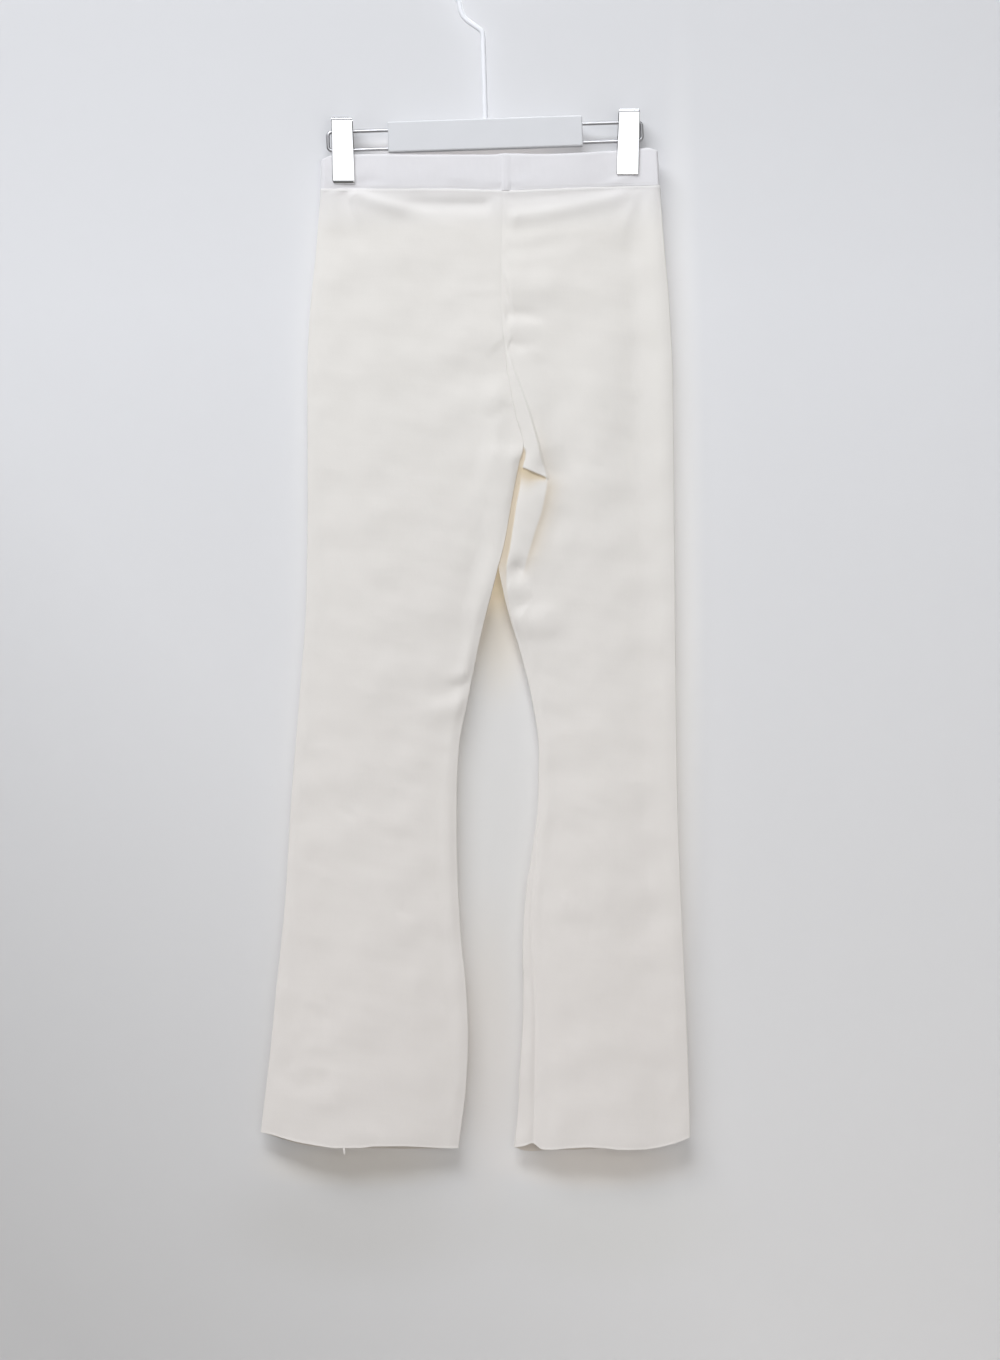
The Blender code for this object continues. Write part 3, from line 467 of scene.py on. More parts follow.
def jersey_material(name, low, high, warm_shade_colour, deep_shade_colour, nap=0.16):
    """Brushed jersey, with painted shade in its creases: where the mesh marks a crease, the colour is mixed towards a
    warm tan and then a deeper tan. These tans stand in for the shade there and for the warm light that comes only off
    and through the cloth.
    """
    material, nodes, links, shader = new_material(name)
    blotch = noise(nodes, links, 26, 4, 0.6)
    plain = shade_between(nodes, links, blotch.outputs["Fac"], low, high)
    painted_crease_shade = nodes.new("ShaderNodeAttribute")
    painted_crease_shade.attribute_name = "painted_crease_shade"
    # painted shade: towards the warm tan for crease values 0 to 0.5, towards the deep tan from 0.5 to 1
    for colour, start, end in ((warm_shade_colour, 0.0, 0.5), (deep_shade_colour, 0.5, 1.0)):
        share = nodes.new("ShaderNodeMapRange")
        share.inputs["From Min"].default_value = start
        share.inputs["From Max"].default_value = end
        links.new(painted_crease_shade.outputs["Fac"], share.inputs["Value"])
        tint = nodes.new("ShaderNodeMix")
        tint.data_type = "RGBA"
        links.new(share.outputs["Result"], tint.inputs["Factor"])
        links.new(plain, tint.inputs["A"])
        tint.inputs["B"].default_value = (*colour, 1)
        plain = tint.outputs["Result"]
    # painted light: a little cooler by the waistband and a little rosier down the legs, for the tone of the light that
    # falls there
    where = nodes.new("ShaderNodeTexCoord")
    parts = nodes.new("ShaderNodeSeparateXYZ")
    links.new(where.outputs["Object"], parts.inputs["Vector"])
    for start, end, colour in ((-0.272, -0.226, (0.975, 0.985, 1.025)), (-0.45, -1.05, (1.0, 0.978, 0.976))):
        share = nodes.new("ShaderNodeMapRange")
        share.inputs["From Min"].default_value = start
        share.inputs["From Max"].default_value = end
        links.new(parts.outputs["Z"], share.inputs["Value"])
        tint = nodes.new("ShaderNodeMix")
        tint.data_type = "RGBA"
        tint.blend_type = "MULTIPLY"
        links.new(share.outputs["Result"], tint.inputs["Factor"])
        links.new(plain, tint.inputs["A"])
        tint.inputs["B"].default_value = (*colour, 1)
        plain = tint.outputs["Result"]
    links.new(plain, shader.inputs["Base Color"])
    fuzz = noise(nodes, links, 1500, 2, 0.6)
    brushed = noise(nodes, links, 340, 3, 0.6, (1.0, 1.0, 0.45))
    courses = noise(nodes, links, 190, 2, 0.5, (0.10, 0.10, 1.0))
    ripple = noise(nodes, links, 62, 2, 0.5, (0.30, 0.30, 1.0))
    add_bump(nodes, links, shader, (
        (ripple.outputs["Fac"], 0.14, 0.0012),
        (courses.outputs["Fac"], 0.16, 0.0004),
        (brushed.outputs["Fac"], nap, 0.0004),
        (fuzz.outputs["Fac"], nap, 0.0002),
    ))
    shader.inputs["Roughness"].default_value = 0.94
    shader.inputs["Specular IOR Level"].default_value = 0.15
    shader.inputs["Sheen Weight"].default_value = 0.12
    shader.inputs["Sheen Roughness"].default_value = 0.5
    shader.inputs["Sheen Tint"].default_value = (1.0, 0.985, 0.95, 1)
    return material


def plastic_material(name, colour, roughness, grain_scale, bump_strength):
    material, nodes, links, shader = new_material(name)
    cloud = noise(nodes, links, 40, 3)
    low = tuple(c * 0.985 for c in colour)
    links.new(shade_between(nodes, links, cloud.outputs["Fac"], low, colour), shader.inputs["Base Color"])
    grain = noise(nodes, links, grain_scale, 2)
    add_bump(nodes, links, shader, ((grain.outputs["Fac"], bump_strength, 0.0002),))
    shader.inputs["Roughness"].default_value = roughness
    return material


def metal_material(name, colour, roughness, scratch=0.05):
    material, nodes, links, shader = new_material(name)
    shader.inputs["Metallic"].default_value = 1.0
    cloud = noise(nodes, links, 90, 3)
    low = tuple(c * 0.96 for c in colour)
    links.new(shade_between(nodes, links, cloud.outputs["Fac"], low, colour), shader.inputs["Base Color"])
    fine = noise(nodes, links, 700, 2, 0.5, (1, 1, 0.08))
    spread = nodes.new("ShaderNodeMapRange")
    spread.inputs["To Min"].default_value = roughness * 0.8
    spread.inputs["To Max"].default_value = roughness * 1.3
    links.new(fine.outputs["Fac"], spread.inputs["Value"])
    links.new(spread.outputs["Result"], shader.inputs["Roughness"])
    add_bump(nodes, links, shader, ((fine.outputs["Fac"], scratch, 0.0001),))
    return material


# painted shade colours for the creases: a warm tan in the slit between the legs, a deeper tan under the standing fold
PAINTED_WARM_SHADE, PAINTED_DEEP_SHADE = (0.685, 0.59, 0.455), (0.63, 0.525, 0.36)
JERSEY = jersey_material("jersey", (0.785, 0.757, 0.712), (0.803, 0.775, 0.731), PAINTED_WARM_SHADE, PAINTED_DEEP_SHADE)
# the band carries the same painted crease shades, with a lighter warm tan of its own
BAND = jersey_material("band_jersey", (0.772, 0.750, 0.731), (0.791, 0.770, 0.750), (0.76, 0.69, 0.58), PAINTED_DEEP_SHADE, 0.10)
THREAD = jersey_material("thread", (0.80, 0.77, 0.73), (0.82, 0.79, 0.75), PAINTED_WARM_SHADE, PAINTED_DEEP_SHADE, 0.3)
BAR = plastic_material("bar", (0.69, 0.695, 0.71), 0.42, 900, 0.05)
HOOK = plastic_material("coated_wire", (0.90, 0.91, 0.94), 0.35, 600, 0.05)
PLATED = metal_material("plated_steel", (0.86, 0.87, 0.89), 0.10)
# painted shade: the same plated steel as the clips, given a darker colour for the dark surroundings that the wires
# reflect
RAIL = metal_material("plated_wire", (0.62, 0.62, 0.635), 0.40)


def make(name, mesh, material, replaces=(), smooth=True, angle=None):
    piece = bpy.data.objects.new(name, mesh)
    bpy.context.scene.collection.objects.link(piece)
    mesh.materials.append(material)
    if smooth:
        mesh.shade_smooth()
    if angle:
        mesh.set_sharp_from_angle(angle=math.radians(angle))
    if replaces:
        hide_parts(*replaces)
    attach(piece, "root")
    return piece


# ---------------------------------------------------------------- cloth forms
def band_depth(across):
    """Half depth of the waistband: squeezed flat where the clips hold it."""
    away = np.minimum(abs(across - CLIP_MIDDLES[0]), abs(across - CLIP_MIDDLES[1]))
    return mix(5.4, 3.35, 1 - ramp(15, 50, away))


def round_edge(edge, inward, radius, travel):
    """Points of a flat tube's section at distances along the cloth from its edge."""
    quarter = radius * math.pi / 2
    along = np.abs(travel)
    turn = np.sign(travel + 1e-12)
    angle = np.minimum(along / radius, math.pi / 2)
    straight = np.maximum(along - quarter, 0.0)
    return edge + inward * (radius * (1 - np.cos(angle)) + straight), -turn * radius * np.sin(angle)


def seam_travel(drop, radius):
    """How far the right leg's inseam has come round to the front: along the cloth from the edge."""
    across = column(INSEAM, drop, 1) if drop > INSEAM[0][0] else 0.0
    if across < radius:
        return radius * math.acos(1 - across / radius)
    return radius * math.pi / 2 + across - radius


def opening(away, radius, over=OPENS):
    """How far the two layers have parted at a distance from the edge: 0 to 1."""
    t = np.clip((away - radius) / over, 0, 1)
    return 1 - (1 - t) ** 2


def puff(away, radius, centre=8.0, width=7.0, height=0.9):
    """The cloth springs out a little beside a fold, because it resists the bend."""
    return height * np.exp(-(((away - radius - centre) / width) ** 2)) * ramp(0, 5, away)


def near_inner(edge_u, v, inward):
    """Distances from the inner edge of the fine columns: closer where the crotch's folds have sharp edges."""
    fine = np.linspace(0.0, 40.0, 401)
    dense = np.full(401, 1.0)
    if 340 < v < 590:
        marks = [column(FLAP, v, 2), column(SLIT, v, 1)]
        fade = float(ramp(340, 380, v) * (1 - ramp(560, 590, v)))
        for mark in marks:
            dense += 2.6 * fade * np.exp(-(((fine - (mark - edge_u)) / 2.0) ** 2))
    total = np.concatenate([[0], np.cumsum((dense[1:] + dense[:-1]) / 2)])
    return np.interp(np.linspace(0, total[-1], 49), total, fine)[::-1]


def fine_columns(layer, half):
    """Shares along the side's round, the flat and the inner round."""
    rounds = np.array([0, 0.04, 0.12, 0.24, 0.38, 0.54, 0.70, 0.86])
    flat = np.linspace(0, 1, 68, endpoint=False)
    inner = np.array([0, 0.12, 0.24, 0.36, 0.48, 0.60, 0.71, 0.80, 0.87, 0.92, 0.96, 0.985, 1.0])
    if half == "right":
        inner = np.array([0, 0.07, 0.14, 0.21, 0.28, 0.35, 0.42, 0.49, 0.56, 0.63, 0.70, 0.77, 0.84, 0.90, 0.95, 0.98, 1.0])
    return rounds, flat, inner


def fine_rows(layer, half):
    """Shares from the waist seam to the hem, closer near both and where the folds are sharp."""
    edges = [-1.4, -0.5, 0.1, 0.7, 1.6, 2.5, 3.6, 5.0]      # the first rows lie tucked behind the band's edge
    rows = edges + list(np.arange(7.0, 950.0, 2.45))
    if half == "right" and layer == "front":
        rows = (
            edges + list(np.arange(7.0, 150.0, 2.5)) + list(np.arange(150.0, 274.0, 1.45))
            + list(np.arange(274.0, 294.0, 0.8)) + list(np.arange(294.0, 430.0, 1.6)) + list(np.arange(430.0, 950.0, 3.5))
        )
    rows += [951.5, 953.0, 954.0, 954.8, 955.4, 956.0]
    return np.array(rows)


def base_grid(half, layer):
    """The layer's plain form: x, y, drop for each row and column, and how free each point is to fold."""
    inward = 1 if half == "left" else -1
    face = -1 if layer == "front" else 1
    which = 1 if half == "left" else 2
    hem_index = {"left": {"front": 1, "back": 2}, "right": {"front": 3, "back": 4}}[half][layer]
    rounds, flats, inners = fine_columns(layer, half)
    hem_fine = np.linspace(0, 1, 200)
    hem_own = np.array([column(HEM, h, hem_index) for h in hem_fine])
    hem_front = np.array([column(HEM, h, 3) for h in hem_fine])
    seam_fine = np.linspace(-164, 176, 200)
    seam_drops = np.array([column(BAND_EDGE, s, 2) for s in seam_fine])
    xs, ys, drops, free = [], [], [], []
    for step in fine_rows(layer, half):
        drop = 230.0 + step
        apart = float(ramp(485, 507, drop))
        slim = float(ramp(540, 700, drop))          # below the crotch the inner edges fold flatter
        side = column(SIDES, drop, which)
        edge = column(INNER, drop, which)
        inner = edge - inward * HALF_SEAM * (1 - apart)
        depth = column(DEPTH, drop, 1)
        side_radius = min(EDGE, depth * 0.8)
        radius = EDGE
        quarter, side_quarter = radius * math.pi / 2, side_radius * math.pi / 2
        shift = seam_travel(drop, radius) if half == "right" else 0.0
        sx, sy = round_edge(side, inward, side_radius, side_quarter * rounds)
        travel = quarter * (1 - inners)
        if shift:
            travel = travel + shift if layer == "front" else mix(quarter, -shift, inners)
        travel_x, travel_y = round_edge(inner, -inward, radius, travel)
        rx = mix(inner - inward * travel, travel_x, apart)
        start = side + inward * side_radius
        if half == "right" and layer == "front":
            # 20 columns over the hip side, 48 over the last 40 mm
            close = np.abs(rx[0] - inner) + near_inner(inner + VIEW_U, drop + VIEW_V, inward)[:-1]
            far = inner + close[0]
            fx = np.concatenate([np.linspace(start, far, 27, endpoint=False), inner + close])
        else:
            fx = mix(start, rx[0], flats)
        x = np.concatenate([sx, fx, rx])
        # half depth: from each fold the layers part, up to the full depth in the middle
        from_side, from_inner = np.abs(x - side), np.abs(x - inner)
        spring = puff(from_side, side_radius, height=0.6) if half == "left" else puff(from_side, side_radius, 8.0, 7.0, 0.3)
        full = side_radius + (depth - side_radius) * opening(from_side, side_radius) + spring
        swell = mix(0.25, 1.0, slim) * puff(from_inner, radius)
        low = radius + (depth - radius) * opening(from_inner, radius, mix(34.0, OPENS, slim)) + swell
        body = mix(full, np.minimum(full, low), apart)
        y = body.copy()
        y[: len(sx)] = np.abs(sy)
        ratio = body[len(sx) + len(fx):] / radius
        y[len(sx) + len(fx):] = mix(body[len(sx) + len(fx):], np.abs(travel_y) * ratio, apart)
        sign = np.ones(len(x))
        sign[len(sx) + len(fx):] = np.where(travel >= 0, 1.0, -1.0)
        y = y * face * sign
        # squeezed to the waistband's depth at the seam, opening below it
        open_up = float(ramp(0, 26, step)) ** 0.8
        at_band = (band_depth(x) + 0.25) * np.sqrt(1 - (1 - np.clip(from_side / 3.6, 0, 1)) ** 2)
        y = mix(at_band * face * sign, y, open_up)
        share = (x - side) / (edge - side)
        move = (1 - float(ramp(230, 330, drop))) * (np.interp(x, seam_fine, seam_drops) + 0.3 - 230.0)
        at_hem = float(ramp(1060, HEM_DROP, drop))
        strip = (half == "right") & (layer == "back") & (y < 0)
        dip = np.where(strip, np.interp(share, hem_fine, hem_front), np.interp(share, hem_fine, hem_own))
        move = move + at_hem * dip
        # seams: cloth turns in a little right at each seam
        to_side = np.concatenate([side_quarter * rounds, side_quarter + np.abs(fx - sx[-1]), np.full(len(rx), 200.0)])
        end = shift if layer == "front" else -shift
        to_seam = np.concatenate([np.full(len(sx), 200.0), np.abs(rx[0] - fx) + abs(travel[0] - end), np.abs(travel - end)])
        xs.append(x)
        ys.append(y)
        drops.append(drop + move)
        to_edge = np.concatenate([np.full(len(sx), 200.0), np.abs(rx[0] - fx) + quarter, np.abs(travel)])
        free.append(np.stack([ramp(0, 11, to_side), to_seam, to_side, np.full(len(x), apart), np.full(len(x), step), to_edge]))
    return np.array(xs), np.array(ys), np.array(drops), np.array(free)


def grid_normals(p, sign):
    across = np.gradient(p, axis=1)
    down = np.gradient(p, axis=0)
    n = np.cross(across, down) * sign
    size = np.linalg.norm(n, axis=2, keepdims=True)
    return n / np.maximum(size, 1e-12)


def wall_mesh(name, outer, inner, painted_crease_shade=None):
    """Closed wall from two grids of points with a rim between them. The last argument gives painted shade for deep
    creases, 0 to 1, kept on the mesh for its material.
    """
    rows, cols = outer.shape[:2]
    count = rows * cols
    verts = np.concatenate([outer.reshape(-1, 3), inner.reshape(-1, 3)])
    index = np.arange(count).reshape(rows, cols)
    a, b, c, d = index[:-1, :-1], index[:-1, 1:], index[1:, 1:], index[1:, :-1]
    top = np.stack([a, b, c, d], -1).reshape(-1, 4)
    under = np.stack([a, d, c, b], -1).reshape(-1, 4) + count
    rim = [index[0, :], index[1:, -1], index[-1, -2::-1], index[-2:0:-1, 0]]
    ring = np.concatenate(rim)
    nxt = np.roll(ring, -1)
    sides = np.stack([ring, ring + count, nxt + count, nxt], -1)
    faces = np.concatenate([top, under, sides])
    # face outwards: the first face's normal against the offset from inner to outer
    p = verts[faces[len(top) // 2]]
    n = np.cross(p[1] - p[0], p[2] - p[0])
    out = outer.reshape(-1, 3)[faces[len(top) // 2][0]] - inner.reshape(-1, 3)[faces[len(top) // 2][0]]
    if np.dot(n, out) < 0:
        faces = faces[:, ::-1]
    mesh = bpy.data.meshes.new(name)
    mesh.vertices.add(len(verts))
    mesh.vertices.foreach_set("co", verts.ravel())
    mesh.loops.add(faces.size)
    mesh.loops.foreach_set("vertex_index", faces.ravel().astype(np.int32))
    mesh.polygons.add(len(faces))
    mesh.polygons.foreach_set("loop_start", np.arange(0, faces.size, 4, dtype=np.int32))
    mesh.update(calc_edges=True)
    if painted_crease_shade is not None:
        marks = mesh.attributes.new("painted_crease_shade", "FLOAT", "POINT")
        # painted shade on the cloth's inside faces
        painted_inside_shade = np.full((rows, cols), 0.2)
        painted_inside_shade[0], painted_inside_shade[-1], painted_inside_shade[:, 0], painted_inside_shade[:, -1] = 0, 0, 0, 0       # no painted shade on the raw edges
        marks.data.foreach_set("value", np.concatenate([painted_crease_shade.ravel(), painted_inside_shade.ravel()]).astype(np.float32))
    mesh.validate()
    return mesh


def panel(half, layer):
    x, y, drop, free = base_grid(half, layer)
    face = -1 if layer == "front" else 1
    sign = {("left", "front"): -1, ("right", "front"): 1, ("left", "back"): 1, ("right", "back"): -1}[(half, layer)]
    sign = -sign                                    # rows run down: -Z
    plain = np.stack([x, y, -drop], -1)
    normals = grid_normals(plain, sign)
    if np.mean(normals[:, 20:60, 1]) * face < 0:
        normals = -normals
    side_free, to_seam, to_side, apart, step, to_edge = (free[:, k, :] for k in range(6))
    u, v = x + VIEW_U, drop + VIEW_V
    form = front_height if layer == "front" else back_height
    height = form(u, v, half)
    # above the crotch the halves meet at one height at the centre seam
    middle = np.repeat(u[:, -1:], u.shape[1], axis=1)
    other = "right" if half == "left" else "left"
    height += 0.5 * (form(middle, v, other) - form(middle, v, half)) * np.exp(-((to_seam / 8.0) ** 2)) * (1 - ramp(420, 447, v))
    leg_free = ramp(0, 11, to_seam)
    if layer == "front":
        # near the crotch's slit the edge itself carries the fold
        near_slit = ramp(455, 480, v) * (1 - ramp(590, 620, v))
        leg_free = np.maximum(leg_free, near_slit * ramp(0, 5, to_seam))
    height *= side_free * mix(1.0, leg_free, apart) * ramp(-1, 6, step)
    if layer == "front" and half == "right":
        height += crotch_fold(u, v)
    # puffed edges and a fine valley along each seam
    turned = ramp(800, 1000, drop) if half == "right" else np.zeros_like(drop)   # the inseam lies on the front
    seam_valley = -mix(0.10, 0.42, turned) * np.exp(-((to_seam / mix(0.8, 1.3, turned)) ** 2)) + 0.05 * np.exp(-(((to_seam - 3.0) / 2.0) ** 2))
    seam_valley = seam_valley - 1.0 * turned * np.exp(-((to_seam / 4.0) ** 2))
    side_valley = -0.16 * np.exp(-((to_side / 0.8) ** 2))
    waist_valley = -1.5 * (1 - ramp(-1.4, 0.5, step)) + 0.22 * np.exp(-(((step - 2.2) / 1.8) ** 2)) - 0.12 * np.exp(-(((step - 6.5) / 2.2) ** 2))
    hem_turn = (-0.20 * ramp(946, 953, step) + 0.25 * ramp(953.6, 956, step)) * ramp(0, 9, to_side)
    height = height + seam_valley + side_valley + waist_valley + hem_turn
    # painted shade in the crotch's creases: warm tan in the slit, deep tan under the fold's lower edge, a little in the
    # groove beside the fold
    painted_crease_shade = np.zeros_like(u)
    if half == "right" and layer == "front":
        slit, pocket, groove = slit_mask(u, v), pocket_mask(u, v, 12.0, 1.6), groove_shade_mask(u, v)
        painted_crease_shade = np.clip(0.5 * slit, 0, 1)
        painted_crease_shade = np.maximum(np.maximum(painted_crease_shade, 0.95 * pocket), 0.34 * groove)
    if layer == "back" or half == "left":           # painted shade on the legs' facing edges under the crotch
        reach = 22.0 if layer == "back" else 2.2
        painted_crease_shade = np.maximum(painted_crease_shade, 0.5 * (1 - ramp(0.2, reach, to_edge)) * ramp(448, 456, v) * (1 - ramp(600, 680, v)))
    outer = plain + normals * height[..., None]
    # between the legs the left leg's edge stands forward, the right leg's edge lies behind it
    away = np.abs(x - x[:, -1:])
    beside = ramp(444, 467, v) * (1 - ramp(560, 650, v))
    if half == "left":
        outer[..., 1] -= 6.8 * beside * (1 - ramp(0, 28, away))
    else:
        outer[..., 1] -= 5.6 * beside * (1 - ramp(2, 32, away))
        # the right side's edge hangs a little forward, flat up to the fold
        lower = ramp(190, 262, v)
        outer[..., 1] -= mix(2.6, 4.8, lower) * (1 - ramp(0, mix(21, 38, lower), np.abs(x - x[:, :1])))
        if layer == "front":
            # the crease's floor: the right leg's cloth, flat and close behind the left leg's edge
            floor = mix(-8.2, -7.3, ramp(446, 470, v))
            outer[..., 1] = mix(outer[..., 1], floor, slit_mask(u, v) * ramp(446, 454, v))
    normals = grid_normals(outer, sign)
    if np.mean(normals[:, 20:60, 1]) * face < 0:
        normals = -normals
    inner = outer - normals * CLOTH
    mesh = wall_mesh(f"{layer}_{half}_cloth", outer * MM, inner * MM, painted_crease_shade)
    piece = make(f"{layer}_{half}_cloth", mesh, JERSEY, (f"{layer}_{half}",), angle=60)
    row = 5                                         # 2.5 mm under the waist seam
    return piece, outer[row], normals[row]


def band(half):
    """Waistband half: jersey folded over elastic, swept from the centre front round the side."""
    inward = 1 if half == "left" else -1
    centre = 20.5 - inward * HALF_SEAM
    side_top, side_low = (-162.0, -163.5) if half == "left" else (173.4, 175.2)
    run = abs(centre - side_top)
    end = 5.0 if half == "left" else 2.4              # width of the fold round the side
    ends = np.concatenate([[0, 0.3, 0.8, 1.5, 2.5, 3.8], np.arange(5.6, run - end, 2.2)]) / (run - end)
    ends = np.append(ends, 1.0)
    bends = np.radians(np.linspace(-75, 75, 11))
    levels = np.concatenate([[0, 0.012, 0.03, 0.055, 0.09], np.linspace(0.13, 0.90, 16), [0.93, 0.96, 0.98, 1.0]])
    seam_fine = np.linspace(-164, 176, 200)
    tops = np.array([column(BAND_EDGE, s, 1) for s in seam_fine])
    lows = np.array([column(BAND_EDGE, s, 2) for s in seam_fine])
    outer, inner, turned_out = [], [], []
    for share in levels:
        side = mix(side_top, side_low, share) + inward * 2.2 * (1 - min(1.0, share / 0.10)) ** 2
        xs = mix(centre, side + inward * end, ends)
        ds = band_depth(xs)
        rounding = ds[-1]
        tx = side + inward * end - inward * end * np.cos(bends)
        ty = rounding * np.sin(bends)
        x = np.concatenate([xs, tx, xs[::-1]])
        y = np.concatenate([-ds, ty, ds[::-1]])
        if half == "right":                          # past its clip this end curls forward a little
            y = y - 2.6 * (1 - ramp(0, 21, np.abs(x - side)))
        away = np.concatenate([np.abs(xs - centre), np.full(len(tx), 200.0), np.abs(xs[::-1] - centre)])
        # elastic under the cloth: a rounded fold on top, a slightly plump middle, drawn in at the seam
        plump = 0.34 * math.sin(math.pi * min(1.0, share * 1.02)) ** 0.5 - 1.6 * (1 - min(1.0, share / 0.055)) ** 2
        plump -= 0.08 * max(0.0, (share - 0.94) / 0.06) ** 2
        ripple = 0.10 * np.sin(x * 0.9 + 3 * math.sin(x[0] * 0.01)) * math.sin(math.pi * share)
        u = x + VIEW_U
        soft = drift(u, np.full_like(u, 60.0 * share), 31, ((70, 0.22), (30, 0.08)))
        strip = 0.45 * (1 - ramp(3.1, 4.1, np.abs(x - 21.6)))           # the turned-in ends, 7 mm wide
        foot = -1.2 * math.exp(-(((share - 0.93) / 0.10) ** 2)) * np.exp(-((away / 13.0) ** 2)) * ramp(2.0, 5.0, np.abs(x - 21.6))
        pulls = np.where(y < 0, fold_height(BAND_FOLDS, u, np.interp(x, seam_fine, tops) + (np.interp(x, seam_fine, lows) - np.interp(x, seam_fine, tops)) * share + VIEW_V), 0)
        total = plump + ripple + soft + strip + foot + pulls
        grad_x, grad_y = np.gradient(x), np.gradient(y)
        size = np.hypot(grad_x, grad_y)
        nx, ny = grad_y / size, -grad_x / size
        if ny[5] > 0:
            nx, ny = -nx, -ny
        drop = mix(np.interp(x, seam_fine, tops), np.interp(x, seam_fine, lows), share)
        drop = drop + 3.0 * (1 - ramp(0, 8, np.abs(x - side))) * max(0.0, 1 - share * 3) ** 3
        ox, oy = x + nx * total, y + ny * total
        thick = BAND_CLOTH * (0.55 + 0.45 * min(1.0, share / 0.05))
        outer.append(np.stack([ox, oy, -drop], -1))
        turned_out.append(np.stack([nx, ny, 0 * nx], -1))
        inner.append(np.stack([ox - nx * thick, oy - ny * thick, -drop - (0.5 if share == 0 else 0.0)], -1))
    mesh = wall_mesh(f"waistband_{half}_cloth", np.array(outer) * MM, np.array(inner) * MM, np.zeros((len(outer), len(outer[0]))))
    piece = make(f"waistband_{half}_cloth", mesh, BAND, (f"waistband_{half}",), angle=60)
    row = int(np.argmin(np.abs(levels - 0.935)))    # 2.3 mm above the waist seam
    return piece, outer[row], turned_out[row]


def stitches(name, path, out, pitch=3.1, length=2.4, width=0.34):
    """A row of stitches on a line of surface points (mm), each a small flattened bead sunk in the cloth."""
    path, out = np.asarray(path), np.asarray(out)
    gaps = np.linalg.norm(np.diff(path, axis=0), axis=1)
    run = np.concatenate([[0], np.cumsum(gaps)])
    verts, faces = [], []
    for k in range(int(run[-1] / pitch) - 1):
        at = 1.5 + k * pitch
        ends = [np.array([np.interp(at + t * length, run, path[:, j]) for j in range(3)]) for t in (0, 1)]
        up = np.array([np.interp(at + length / 2, run, out[:, j]) for j in range(3)])
        along = (ends[1] - ends[0]) / max(np.linalg.norm(ends[1] - ends[0]), 1e-6)
        side = np.cross(along, up)
        base = len(verts)
        for t, size in ((0.0, 0.35), (0.16, 0.9), (0.5, 1.0), (0.84, 0.9), (1.0, 0.35)):
            middle = ends[0] + (ends[1] - ends[0]) * t + up * (0.02 + 0.10 * math.sin(math.pi * t))
            for j in range(6):
                a = 2 * math.pi * j / 6
                verts.append((middle + (side * math.cos(a) + up * math.sin(a) * 0.7) * width / 2 * size) * MM)
        for r in range(4):
            for j in range(6):
                n = (j + 1) % 6
                faces.append((base + 6 * r + j, base + 6 * r + n, base + 6 * r + 6 + n, base + 6 * r + 6 + j))
        faces.append(tuple(base + j for j in range(5, -1, -1)))
        faces.append(tuple(base + 24 + j for j in range(6)))
    mesh = bpy.data.meshes.new(name)
    mesh.from_pydata(verts, [], faces)
    mesh.update()
    work = bmesh.new()
    work.from_mesh(mesh)
    bmesh.ops.recalc_face_normals(work, faces=work.faces)
    work.to_mesh(mesh)
    work.free()
    return make(name, mesh, THREAD)


# ---------------------------------------------------------------- hanger
def tube(name, path, diameter, material, replaces=(), sides=20):
    """Round wire along a smooth path of points in millimetres (x, y, drop), with rounded ends."""
    pts = [Vector((x * MM, y * MM, -d * MM)) for x, y, d in path]
    mesh = bpy.data.meshes.new(name)
    work = bmesh.new()
    radius = diameter / 2 * MM
    rings = []
    up = Vector((0, 1, 0))
    stations = []
    for k, p in enumerate(pts):
        tangent = (pts[min(k + 1, len(pts) - 1)] - pts[max(k - 1, 0)]).normalized()
        side = tangent.cross(up).normalized()
        stations.append((p, tangent, side))
    ordered = []
    first, last = stations[0], stations[-1]
    for shift, shrink in ((-0.95, 0.3), (-0.8, 0.62), (-0.45, 0.9)):
        ordered.append((first[0] + first[1] * radius * (shift + 0.95) * 0.9, first[1], first[2], shrink))
    ordered += [(p + (first[1] * radius * 0.9 if k == 0 else Vector()), t, s, 1.0) for k, (p, t, s) in enumerate(stations[:1])]
    ordered += [(p, t, s, 1.0) for p, t, s in stations[1:-1]]
    ordered += [(last[0] - last[1] * radius * 0.9, last[1], last[2], 1.0)]
    for shift, shrink in ((0.45, 0.9), (0.8, 0.62), (0.95, 0.3)):
        ordered.append((last[0] - last[1] * radius * (0.95 - shift) * 0.9, last[1], last[2], shrink))
    for p, tangent, side, shrink in ordered:
        normal = side.cross(tangent).normalized()
        ring = []
        for j in range(sides):
            a = 2 * math.pi * j / sides
            ring.append(work.verts.new(p + (side * math.cos(a) + normal * math.sin(a)) * radius * shrink))
        rings.append(ring)
    for a, b in zip(rings, rings[1:]):
        for j in range(sides):
            k = (j + 1) % sides
            work.faces.new([a[j], a[k], b[k], b[j]])
    work.faces.new(rings[0][::-1])
    work.faces.new(rings[-1])
    bmesh.ops.recalc_face_normals(work, faces=work.faces)
    work.to_mesh(mesh)
    work.free()
    return make(name, mesh, material, replaces)


def smooth_through(points, steps):
    padded = [points[0], *points, points[-1]]
    out = []
    for i in range(len(points) - 1):
        a, b, c, d = padded[i : i + 4]
        for k in range(steps):
            t = k / steps
            out.append(tuple(
                0.5 * (2 * b[j] + (c[j] - a[j]) * t + (2 * a[j] - 5 * b[j] + 4 * c[j] - d[j]) * t * t
                       + (3 * b[j] - a[j] - 3 * c[j] + d[j]) * t**3)
                for j in (0, 1)
            ))
    return out + [points[-1]]


